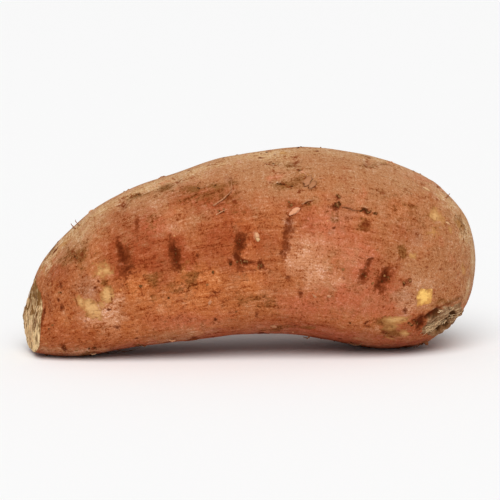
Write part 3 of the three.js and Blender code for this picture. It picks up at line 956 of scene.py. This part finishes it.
    # Scattered specks
    away, drawn = paint.cells(here, DARK_SPECKS)
    dark_speck = (1 - (away + 0.8 * grain).between(0.1, 0.26)) * drawn.between(0.93, 0.94)
    colour = paint.mix(colour, EYE_EDGE, dark_speck * 0.7)
    away, drawn = paint.cells(here, LIGHT_SPECKS)
    light_speck = (1 - (away + 0.8 * grain).between(0.05, 0.22)) * drawn.between(0.95, 0.96)
    colour = paint.mix(colour, PEELED_BRIGHT, light_speck * 0.35)

    # Peeled patches, where the paler layer below the skin shows
    peel_edge = paint.ragged("peel", 0.7 * patches + 0.8 * grain + 0.4 * lines)
    peel = peel_edge.between(0.28, 0.62)
    peeled = paint.mix(PEELED, PEELED_BRIGHT, (peel_edge - 0.9 * wide_lines).between(0.55, 1.05))
    peeled = paint.mix(peeled, SKIN_OLIVE, (spots + 1.3 * grain).between(0.0, 0.35) * 0.6)
    colour = paint.mix(colour, peeled, peel * 0.8)

    # Fresh nick down to the flesh
    nick_edge = paint.ragged("nick", 0.5 * patches + 0.6 * grain)
    flesh = paint.mix(FLESH_PALE, FLESH, (nick_edge - 1.4 * spots - 0.8 * ticks).between(0.45, 0.95))
    colour = paint.mix(colour, flesh, nick_edge.between(0.34, 0.6) * 0.95)

    # Eyes: a dark heart in a stained edge
    eye_edge = paint.ragged("eye", 0.9 * patches + 1.5 * spots + 1.4 * grain)
    colour = paint.mix(colour, EYE_EDGE, eye_edge.between(0.12, 0.66) * 0.85)
    colour = paint.mix(colour, EYE_DARK, eye_edge.between(0.55, 1.1) * 0.85)

    # Blots, cracks, and painted shadows beside the rootlets and grit
    blot_edge = paint.ragged("blot", 0.6 * patches + 1.0 * grain)
    colour = paint.mix(colour, EYE_EDGE, blot_edge.between(0.22, 0.5) * 0.7)
    colour = paint.mix(colour, EYE_DARK, blot_edge.between(0.45, 0.75) * 0.85)
    crack_and_shadow = paint.ragged("crack_and_shadow", 1.0 * grain).between(0.3, 0.65)
    colour = paint.mix(colour, EYE_EDGE, crack_and_shadow * 0.85)

    # The stem scar: fibrous bark
    scar_lines = paint.stretched(paint.stored_vector("scar_lines"), ALONG_SCAR)
    fibres = paint.mottle(scar_lines, BARK_FIBRES_FINE, 3, 0.6, 0.4)
    scab = (paint.stored("scab") + 0.3 * patches + 0.3 * grain).between(0.44, 0.58)
    bark = paint.mix(BARK, BARK_LIGHT, ((1 - fibres) + 0.5 * grain).between(0.45, 0.7) * 0.75)
    bark = paint.mix(bark, SKIN_OLIVE, (patches + 0.6 * spots + 0.4 * grain).between(-0.02, 0.25) * 0.6)
    bark = paint.mix(bark, BARK_DARK, (fibres + 0.8 * spots + 0.4 * grain).between(0.52, 0.72) * 0.8)
    colour = paint.mix(colour, bark, scab)
    # Painted shade in the scar's hollows and holes: brown round them, near black inside
    hollow = paint.ragged("hollow", 0.6 * patches + 0.7 * grain)
    colour = paint.mix(colour, paint.mix(EYE_EDGE, BARK_BROWN, scab), hollow.between(0.15, 0.5) * 0.75)
    hollow_shade = paint.mix(EYE_DARK, BARK_DARK, scab)
    colour = paint.mix(colour, hollow_shade, hollow.between(0.4, 0.8) * 0.88)

    # The cut face: cream flesh dried to grey strands
    strands = paint.mottle(paint.stretched(here, UP_CUT), CUT_FIBRES_FINE, 3, 0.6, 0.4)
    height_share = place[2].between(5 * MM, 24 * MM)
    grey = strands + 0.25 * height_share + 0.9 * spots
    cut_colour = paint.mix(CUT_CREAM, CUT_GREY, grey.between(0.42, 0.8))
    brown = strands + 0.14 * height_share + 0.7 * spots + 1.1 * patches + 0.4 * grain
    cut_colour = paint.mix(cut_colour, CUT_OLIVE, brown.between(0.46, 0.76) * 0.8)
    cut_edge = paint.stored("cut") + 0.6 * grain + 0.5 * spots
    colour = paint.mix(colour, EYE_EDGE, cut_edge.between(0.02, 0.4) * 0.7)
    colour = paint.mix(colour, cut_colour, cut_edge.between(0.35, 0.7))

    # Fine relief and finish
    height = 0.9 * lines + 0.6 * wide_lines + 0.9 * grain + 0.4 * fine - 0.6 * ticks
    height -= 0.5 * eye_edge.between(0.4, 0.9)
    normal = paint.bump(height, 0.5 * MM, 0.9)
    roughness = 0.62 + 0.5 * grain + 0.18 * tan_on_top - 0.12 * paint.stored("orange")
    return paint.finish(colour, roughness, normal, SKIN_SHINE)


def dry_root_material():
    """Dead rootlets and strands of bark, each of its own tint."""
    paint = Paint("dry_root")
    here = paint.object_place()
    grain = paint.mottle(here, 1500, 3, 0.6) - 0.5
    patches = paint.mottle(here, 500, 2, 0.5) - 0.5
    tint = paint.stored("tint")
    pale = (tint + 0.8 * patches + 0.8 * grain).between(0.2, 0.9)
    colour = paint.mix(BARK_BROWN, BARK_LIGHT, pale)
    colour = paint.mix(colour, paint.mix(ROOTLET_BROWN, ROOTLET_PALE, pale), paint.stored("rosy"))
    colour = paint.mix(colour, BARK_DARK, (grain - 0.6 * tint + 0.5 * patches).between(-0.25, 0.3) * 0.7)
    normal = paint.bump(grain, 0.2 * MM, 0.8)
    return paint.finish(colour, 0.8 + 0.3 * grain, normal, DRY_ROOT_SHINE)


def soil_material():
    paint = Paint("dried_soil")
    here = paint.object_place()
    grain = paint.mottle(here, 2200, 3, 0.65) - 0.5
    tint = paint.stored("tint")
    colour = paint.mix(SOIL_DARK, SOIL, (tint + 1.1 * grain).between(0.2, 0.9))
    normal = paint.bump(grain, 0.25 * MM, 0.9)
    return paint.finish(colour, 0.85 + 0.3 * grain, normal, SOIL_SHINE)


def grit_material():
    paint = Paint("pale_grit")
    here = paint.object_place()
    grain = paint.mottle(here, 1400, 3, 0.6) - 0.5
    tint = paint.stored("tint")
    colour = paint.mix(GRIT_TAN, GRIT_ROSE, tint.between(0.0, 0.5))
    colour = paint.mix(colour, GRIT_YELLOW, tint.between(0.5, 1.0))
    colour = paint.mix(colour, SKIN_MEAN, grain.between(0.05, 0.35) * 0.6)
    normal = paint.bump(grain, 0.2 * MM, 0.7)
    return paint.finish(colour, 0.6 + 0.3 * grain, normal, GRIT_SHINE)


def ride_on_root(piece, material):
    piece.data.materials.clear()
    piece.data.materials.append(material)
    piece.data.shade_smooth()
    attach(piece, "root")


# Strands: dead rootlets and fibres
STRAND_SIDES = 7
STRAND_RINGS = 10
STRAND_END = 0.35  # how thick its far end is, as a share
STRAND_UNEVEN = 0.25
NO_LENGTH = 1e-12
LOWEST = 0.1 * MM  # nothing loose comes nearer to the ground
LAID_STEPS = (0, 0.33, 0.66, 1.0)


def model_strand():
    """A straight strand one unit thick and one unit long, up from the ground."""
    deselect_all()
    bpy.ops.mesh.primitive_circle_add(vertices=STRAND_SIDES, radius=0.5, fill_type="NGON", location=(0, 0, 0))
    strand = bpy.context.object
    bpy.ops.object.mode_set(mode="EDIT")
    bpy.ops.mesh.select_all(action="SELECT")
    for _ in range(STRAND_RINGS):
        bpy.ops.mesh.extrude_region_move(TRANSFORM_OT_translate={"value": (0, 0, 1 / STRAND_RINGS)})
    bpy.ops.mesh.select_all(action="SELECT")
    bpy.ops.mesh.normals_make_consistent(inside=False)
    bpy.ops.object.mode_set(mode="OBJECT")
    return strand


def curve_points(points, shares):
    """Places along the smooth curve through points, at shares of its way."""
    row = np.clip(shares, 0, 1) * (len(points) - 1)
    first = np.minimum(row.astype(int), len(points) - 2)
    part = (row - first)[:, None]
    ends = np.vstack([2 * points[0] - points[1], points, 2 * points[-1] - points[-2]])
    a, b, c, d = (ends[first + step] for step in range(4))
    straight = 2 * b + (c - a) * part
    return 0.5 * (straight + (2 * a - 5 * b + 4 * c - d) * part**2 + (3 * b - a - 3 * c + d) * part**3)


def copy_of(model):
    twin = model.copy()
    twin.data = model.data.copy()
    bpy.context.scene.collection.objects.link(twin)
    return twin


def unit_rows(rows):
    return rows / (np.linalg.norm(rows, axis=1)[:, None] + NO_LENGTH)


def bent_strand(model, points, outs, thickness, tint, rosy=0.0):
    """A copy of the strand bent along points, with its thick end at the first."""
    twin = copy_of(model)
    shape = places_of(twin.data)
    share = shape[:, 2]
    points, outs = np.array(points, dtype=float), np.array(outs, dtype=float)
    ahead = unit_rows(curve_points(points, share + 0.02) - curve_points(points, share - 0.02))
    out = curve_points(outs, share)
    out = unit_rows(out - ahead * np.einsum("ij,ij->i", ahead, out)[:, None])
    side = np.cross(out, ahead)
    uneven = 1 + STRAND_UNEVEN * np.sin(share * 17 + tint * 40)
    width = thickness * (1 - (1 - STRAND_END) * share) * uneven
    bent = curve_points(points, share) + (side * shape[:, :1] + out * shape[:, 1:2]) * width[:, None]
    bent[:, 2] = np.maximum(bent[:, 2], LOWEST)
    twin.data.vertices.foreach_set("co", bent.ravel())
    store(twin.data, "tint", np.full(len(share), tint))
    store(twin.data, "rosy", np.full(len(share), rosy))
    return twin


def laid_strand(skin, model, aim_at, lifts, end_lifts, thicknesses, tints):
    """A strand over the skin through the places that aim_at gives, lifted off it by so many mm at each."""
    points, outs = [], []
    for count, step in enumerate(LAID_STEPS):
        under, out, _, _ = skin.tree.find_nearest(aim_at(step))
        lift = (*lifts, random_numbers.uniform(*end_lifts))[count]
        points.append(under + out * lift * MM)
        outs.append(out)
    thickness = random_numbers.uniform(*thicknesses) * MM
    return bent_strand(model, points, outs, thickness, random_numbers.uniform(*tints))


def joined(name, parts):
    deselect_all()
    for part in parts:
        part.select_set(True)
    bpy.context.view_layer.objects.active = parts[0]
    bpy.ops.object.join()
    parts[0].name = parts[0].data.name = name
    return parts[0]


# Rootlets in the photograph: points by pixel and height in mm, then thickness in mm and tint, 1 for pale
ROOTLETS = [
    ([(213.5, 205.8, 0.0), (218, 203, 0.4), (223, 200, 0.5), (226.5, 196.5, 0.6), (230, 193.5, 0.6),
      (231.5, 188, 0.4), (231, 178, 0.0)], 0.6, 0.5),
    ([(76, 229, 0.0), (73.5, 227, 0.9), (72, 224.5, 1.6)], 0.5, 0.35),
    ([(80, 226, 0.0), (77.5, 223.5, 1.0), (77, 221, 1.4)], 0.4, 0.3),
    ([(445.5, 198, -0.1), (447, 196.5, 0.5), (448, 195.5, 1.0)], 0.6, 0.3),
    ([(424.5, 341, -0.4), (426.5, 343, 0.5), (427.5, 344.5, 0.6)], 1.6, 0.2),
    ([(100, 351.5, -0.2), (110, 353, 1.2), (121, 353.5, 0.9)], 0.25, 0.3),
    ([(116, 350, -0.2), (126, 352.5, 1.5), (141, 350.5, 0.7)], 0.25, 0.2),
    ([(318, 178.5, -0.2), (320, 178.2, 0.2), (327.5, 178.4, -0.2)], 0.5, 0.7),
    ([(303, 172, 0.0), (305, 174.5, 0.3), (308, 176.2, 0.0)], 0.6, 0.6),
    ([(216, 215, -0.1), (221, 212, 0.2), (228, 208.8, -0.1)], 0.6, 0.6),
    ([(302, 204.2, 0.0), (307, 201.3, 0.3), (313.5, 199.8, 0.0)], 0.6, 0.5),
    ([(341.5, 207, 0.0), (347, 207.5, 0.35), (354, 210.5, 0.35), (361, 210.5, 0.0)], 0.45, 0.1),
    ([(159, 178.5, -0.1), (163, 176.5, 0.2), (167, 176, -0.1)], 0.8, 0.4),
    ([(387, 163, -0.1), (391, 162.5, 0.2), (395, 164.5, -0.1)], 0.8, 0.6),
]
ROSY_IN_SIGHT = 0.9
HIDDEN_ROOTLETS_IN_ROW = 9
HIDDEN_ROOTLET_LENGTHS = (2.0, 8.0)  # mm
HIDDEN_ROOTLET_THICKNESSES = (0.35, 0.8)  # mm
ROOTLET_SUNK = 0.3  # mm
ROOTLET_LIFTS = ((0.35, 0.5), (0.7, 0.7), (1.0, 0.6))  # share of its length, and mm off the skin


def rootlet_in_sight(skin, model, stops, thickness, tint):
    points, outs = [], []
    for across, down, height in stops:
        place, out = skin.at_pixel(across, down)
        points.append(place + out * height * MM)
        outs.append(out)
    return bent_strand(model, points, outs, thickness * MM, tint, ROSY_IN_SIGHT)


def hidden_rootlet(skin, model, at, degrees_round):
    """A rootlet that runs any way over the skin and curls a little."""
    some = random_numbers
    place, out = skin.at_root(at, degrees_round)
    length = some.uniform(*HIDDEN_ROOTLET_LENGTHS) * MM
    lean = Vector(some.normal(0, 1, 3)).normalized()
    lean = (lean - out * lean.dot(out)).normalized()
    curl = out.cross(lean) * some.uniform(-0.5, 0.5)
    points = [place - out * ROOTLET_SUNK * MM]
    for step, lift in ROOTLET_LIFTS:
        under, under_out, _, _ = skin.tree.find_nearest(place + (lean + curl * step) * length * step)
        points.append(under + under_out * lift * MM)
    thickness = some.uniform(*HIDDEN_ROOTLET_THICKNESSES) * MM
    tint = some.uniform(0.1, 0.9)
    return bent_strand(model, points, [out] * len(points), thickness, tint, some.uniform(0.3, 1.0))


def add_rootlets(skin, strand, material):
    parts = [rootlet_in_sight(skin, strand, *row) for row in ROOTLETS]
    for degrees_round in HIDDEN_ROWS[1:]:
        for count in range(HIDDEN_ROOTLETS_IN_ROW):
            at = 0.1 + 0.09 * (count + random_numbers.uniform(0, 0.8))
            turned = degrees_round + random_numbers.uniform(-22, 22)
            parts.append(hidden_rootlet(skin, strand, at, turned))
    ride_on_root(joined("rootlets", parts), material)


# Bundles of torn fibres over the stem scar: x and y of both ends, number of fibres, and spread, in pixels
SCAR_BUNDLES = [
    (421.5, 330, 436, 323, 8, 1.6), (429, 326, 445, 317.5, 6, 0.8), (424, 332, 438, 331, 4, 1.0),
    (448, 311.5, 456, 305.5, 7, 1.6), (455, 318, 461, 310, 4, 1.2), (438, 312, 446, 309, 2, 1.0),
]


HIDDEN_SCAR_STRANDS = 24
SHORTEST_SCAR_STRAND = 1.5 * MM


def bundled_starts(skin):
    """Where the fibres of the bundles start, the way that they run, and the share of it that each covers."""
    some = random_numbers
    starts = []
    for x1, y1, x2, y2, count, spread in SCAR_BUNDLES:
        for _ in range(count):
            share = some.uniform(0.0, 0.6)
            across = x1 + (x2 - x1) * share + some.normal(0, 0.5) * spread
            first, _ = skin.at_pixel(across, y1 + (y2 - y1) * share + some.normal(0, 0.5) * spread)
            across = x2 + some.normal(0, 0.5) * spread
            last, _ = skin.at_pixel(across, y2 + some.normal(0, 0.5) * spread)
            starts.append((first, last - first, some.uniform(0.4, 0.9)))
    return starts


def hidden_starts(scar):
    """The same for fibres on the side of the scar that turns away from the photograph."""
    some = random_numbers
    starts = []
    for _ in range(HIDDEN_SCAR_STRANDS):
        turn = some.uniform(math.pi, 2 * math.pi)
        away = math.sqrt(some.uniform(0.1, 0.45))
        first = Vector(scar.here) + Vector(scar.long) * math.cos(turn) * away * scar.half_length
        first += Vector(scar.broad) * math.sin(turn) * away * scar.half_width
        starts.append((first, Vector(scar.long) * some.uniform(-4, 4) * MM, 1.0))
    return starts


def add_scar_strands(skin, scar, strand, material):
    """Torn fibres that lie lengthwise over the stem scar."""
    some = random_numbers
    parts = []
    for start, span, share in bundled_starts(skin) + hidden_starts(scar):
        long = span.normalized()
        broad = long.cross(Vector(scar.out)).normalized()
        length = max(span.length * share, SHORTEST_SCAR_STRAND)
        veer = some.normal(0, 0.25)

        def aim_at(step):
            return start + (long * step + broad * (veer * step + some.normal(0, 0.1))) * length

        parts.append(laid_strand(
            skin, strand, aim_at, lifts=(-0.15, 0.2, 0.3), end_lifts=(0.0, 0.7),
            thicknesses=(0.2, 0.45), tints=(0.4, 1.3),
        ))
    ride_on_root(joined("scar_strands", parts), material)


CUT_STRANDS = 46
CUT_HALF_WIDTH = 13 * MM
ALONG_CUT = Vector((0.2, -1, 0))  # sideways in the cut face


def add_cut_strands(skin, strand, material):
    """Dried strands that run up and down the cut face."""
    some = random_numbers
    parts = []
    low, high = root_point(0, 180), root_point(0, 0)
    for _ in range(CUT_STRANDS):
        start = low.lerp(high, some.uniform(0.0, 0.72))
        height = 2 * (start.z - low.z) / (high.z - low.z) - 1  # from -1 to 1
        reach = math.sqrt(max(0.05, 1 - height**2)) * CUT_HALF_WIDTH
        start = start + ALONG_CUT * some.uniform(-1, 1) * reach
        length = some.uniform(2.0, 6.5) * MM

        def aim_at(step):
            return start + Vector((-2 * MM, some.normal(0, 0.2) * MM, length * step))

        parts.append(laid_strand(
            skin, strand, aim_at, lifts=(-0.1, 0.15, 0.2), end_lifts=(-0.1, 0.4),
            thicknesses=(0.25, 0.6), tints=(0.35, 1.1),
        ))
    ride_on_root(joined("cut_strands", parts), material)


# Crumbs of soil and grit
SOIL_FINENESS = 2  # subdivisions of the model
GRIT_FINENESS = 3
SOIL_WIDTHS = (0.5, 0.9)  # shares of its length
SOIL_DEPTHS = (0.3, 0.55)
GRIT_WIDTHS = (0.4, 0.8)
GRIT_DEPTHS = (0.2, 0.45)
GRIT_FLATNESS = 0.4
ROLL_AXIS = Vector((1, 0.4, 0.7)).normalized()
SUNK = 0.3  # the share of its thickness by which a crumb is sunk in the skin
GRIT_SUNK = 0.25
SCATTERED_CRUMBS = 150
SCATTERED_GRIT = 24


def model_crumb(fineness):
    """A rough lump about one unit across."""
    deselect_all()
    bpy.ops.mesh.primitive_ico_sphere_add(subdivisions=fineness, radius=0.5, location=(0, 0, 0))
    crumb = bpy.context.object
    shape = places_of(crumb.data)
    shape *= (1 + 0.5 * noise_at(shape * 2.6, 11) + 0.3 * noise_at(shape * 7, 12))[:, None]
    crumb.data.vertices.foreach_set("co", shape.ravel())
    return crumb


def laid_crumb(model, place, out, long, length, width, thickness, tint, sunk=SUNK):
    """A copy of the crumb lying on the skin, along long."""
    twin = copy_of(model)
    long = (long - out * long.dot(out)).normalized()
    turn = np.array([long, out.cross(long), out])
    rolled = Matrix.Rotation(tint * 19, 3, ROLL_AXIS)
    shape = places_of(twin.data) @ np.array(rolled) * (length, width, thickness) @ turn
    shape += np.array(place + out * thickness * (0.5 - sunk))
    shape[:, 2] = np.maximum(shape[:, 2], LOWEST)
    twin.data.vertices.foreach_set("co", shape.ravel())
    store(twin.data, "tint", np.full(len(shape), tint))
    return twin


# Where soil sticks: x and y in pixels, spread across and down, number of crumbs, and their size in mm
SOIL_PLACES = [
    (337, 206, 3.5, 3.5, 9, 1.3), (338, 197, 1.5, 2, 3, 1.2), (366, 211, 4, 2.5, 10, 1.2),
    (376, 213.5, 1.5, 1, 3, 0.9), (403.5, 283, 1.2, 0.8, 3, 1.1), (409.5, 280.5, 1, 0.8, 2, 1.0),
    (166, 187, 6, 2.5, 10, 0.9), (195, 188, 5, 2, 7, 0.8), (217, 186, 8, 2, 8, 0.8),
    (282, 184.5, 5, 1.5, 9, 0.9), (291, 186, 3, 1, 4, 0.8), (299, 170.5, 3, 1, 4, 1.0),
    (290, 205, 3, 2, 6, 0.9), (309, 203, 4, 2, 7, 0.9), (221, 211.5, 4, 2, 6, 0.8),
    (241, 262, 5, 2, 6, 0.9), (261, 266, 3, 3, 6, 0.9), (239, 248, 2, 8, 7, 0.8),
    (176, 255, 2, 8, 5, 0.7), (386, 275, 2.5, 7, 8, 0.9), (365, 272, 2, 6, 5, 0.7),
    (76, 256, 6, 5, 9, 0.8), (61, 292, 2, 10, 6, 0.8), (415, 323, 6, 3, 12, 1.0),
    (386, 333, 4, 4, 6, 0.8), (269, 164.5, 8, 1.5, 6, 0.7), (140, 196, 9, 3, 8, 0.8),
    (458, 226, 5, 7, 8, 0.7), (64, 348, 2, 2, 4, 0.9), (94, 348, 2, 1, 4, 0.9),
    (138, 345, 4, 1, 5, 0.8), (422, 343, 4, 2, 5, 1.2), (340, 343, 60, 2, 8, 0.8),
]
# Pale grit: x and y of both ends and width in pixels, and tint: 0 is tan, a half rosy and 1 yellow
GRIT = [
    (305.5, 184.5, 311, 177.8, 6.5, 0.1), (310, 188, 315, 182.5, 5, 0.0),
    (301, 171.5, 303.5, 172.5, 2.5, 0.3), (290.8, 214, 297.8, 209, 5, 0.5),
    (256.5, 233.5, 257, 237, 4, 0.7), (257.5, 238, 258, 240.5, 3.5, 0.9),
    (423.5, 187.5, 428.5, 190.5, 3.5, 0.9), (327.5, 296, 330.5, 296, 2.6, 0.3),
    (313, 295, 316, 297, 1.8, 0.2), (446, 222, 449, 224, 2, 0.8),
]


def tumbled_crumb(model, place, out, length, widths, hollow_shade):
    """A copy of the crumb turned at random."""
    some = random_numbers
    long = Vector(some.normal(0, 1, 3))
    width = length * some.uniform(*widths)
    thickness = length * some.uniform(*hollow_shade)
    return laid_crumb(model, place, out, long, length, width, thickness, some.uniform(0, 1))


def add_soil(skin):
    some = random_numbers
    model = model_crumb(SOIL_FINENESS)
    crumbs = []
    for across, down, spread_across, spread_down, count, size in SOIL_PLACES:
        for _ in range(count):
            at = across + some.normal(0, 0.6) * spread_across
            place, out = skin.at_pixel(at, down + some.normal(0, 0.6) * spread_down)
            length = size * some.uniform(0.35, 1.1) * MM
            crumbs.append(tumbled_crumb(model, place, out, length, SOIL_WIDTHS, SOIL_DEPTHS))
    for _ in range(SCATTERED_CRUMBS):
        at = some.uniform(0.03, 0.97)
        place, out = skin.at_root(at, some.uniform(-15, 270))
        length = some.uniform(0.25, 1.0) ** 1.5 * 1.3 * MM
        crumbs.append(tumbled_crumb(model, place, out, length, SOIL_WIDTHS, SOIL_DEPTHS))
    bpy.data.objects.remove(model)
    ride_on_root(joined("soil_crumbs", crumbs), soil_material())


def add_grit(skin):
    some = random_numbers
    model = model_crumb(GRIT_FINENESS)
    grains = []
    for x1, y1, x2, y2, width, tint in GRIT:
        first, _ = skin.at_pixel(x1, y1)
        last, _ = skin.at_pixel(x2, y2)
        place, out = skin.at_pixel((x1 + x2) / 2, (y1 + y2) / 2)
        breadth = width * METRES_PER_PIXEL
        span = last - first
        length = span.length + breadth / 2
        thickness = breadth * GRIT_FLATNESS
        grains.append(laid_crumb(model, place, out, span, length, breadth, thickness, tint, GRIT_SUNK))
    for _ in range(SCATTERED_GRIT):
        at = some.uniform(0.03, 0.97)
        place, out = skin.at_root(at, some.uniform(0, 250))
        length = some.uniform(0.6, 2.2) * MM
        grains.append(tumbled_crumb(model, place, out, length, GRIT_WIDTHS, GRIT_DEPTHS))
    bpy.data.objects.remove(model)
    ride_on_root(joined("grit", grains), grit_material())


# Floor and lights
FLOOR_WHITE = linear(245, 245, 245)
FLOOR_ROUGHNESS = 0.8
FLOOR_SIDE = 80  # metres, so that it fills the picture to the top
WORLD_STRENGTH = 0.42
SUN_STRENGTH = 2.6
SUN_WIDTH = math.radians(50)
SUN_FROM = (-0.05, -0.8, 1.0)


def add_floor():
    deselect_all()
    bpy.ops.mesh.primitive_plane_add(size=FLOOR_SIDE, location=(0, 0, 0))
    floor = bpy.context.object
    floor.name = "floor"
    floor.data.materials.append(Paint("pale_floor").finish(FLOOR_WHITE, FLOOR_ROUGHNESS, None, FLOOR_SHINE))


def add_sun():
    """A soft light from above, in front and a little to the left."""
    light = bpy.data.lights.new("soft_light", "SUN")
    light.energy = SUN_STRENGTH
    light.angle = SUN_WIDTH
    lamp = bpy.data.objects.new("soft_light", light)
    bpy.context.scene.collection.objects.link(lamp)
    lamp.matrix_world = (-Vector(SUN_FROM)).to_track_quat("-Z", "Y").to_matrix().to_4x4()


def add_light():
    world = bpy.data.worlds.new("studio")
    world.use_nodes = True
    background = world.node_tree.nodes["Background"]
    background.inputs["Color"].default_value = (1, 1, 1, 1)
    background.inputs["Strength"].default_value = WORLD_STRENGTH
    bpy.context.scene.world = world
    add_sun()


add_camera()
root = skin_of_root()
skin = Skin(root)
marks = paint_marks(root, skin)
scar = skin.stroke(*SCAR_LINE, SCAR_WIDTH)
sculpt(root, skin, marks, scar)
root.data.materials.append(skin_material())
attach(root, "root")
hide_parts(SOLID)

strand = model_strand()
dry_root = dry_root_material()
add_rootlets(skin, strand, dry_root)
add_scar_strands(skin, scar, strand, dry_root)
add_cut_strands(skin, strand, dry_root)
bpy.data.objects.remove(strand)
add_soil(skin)
add_grit(skin)

add_floor()
add_light()
bpy.context.scene.view_settings.view_transform = "Standard"
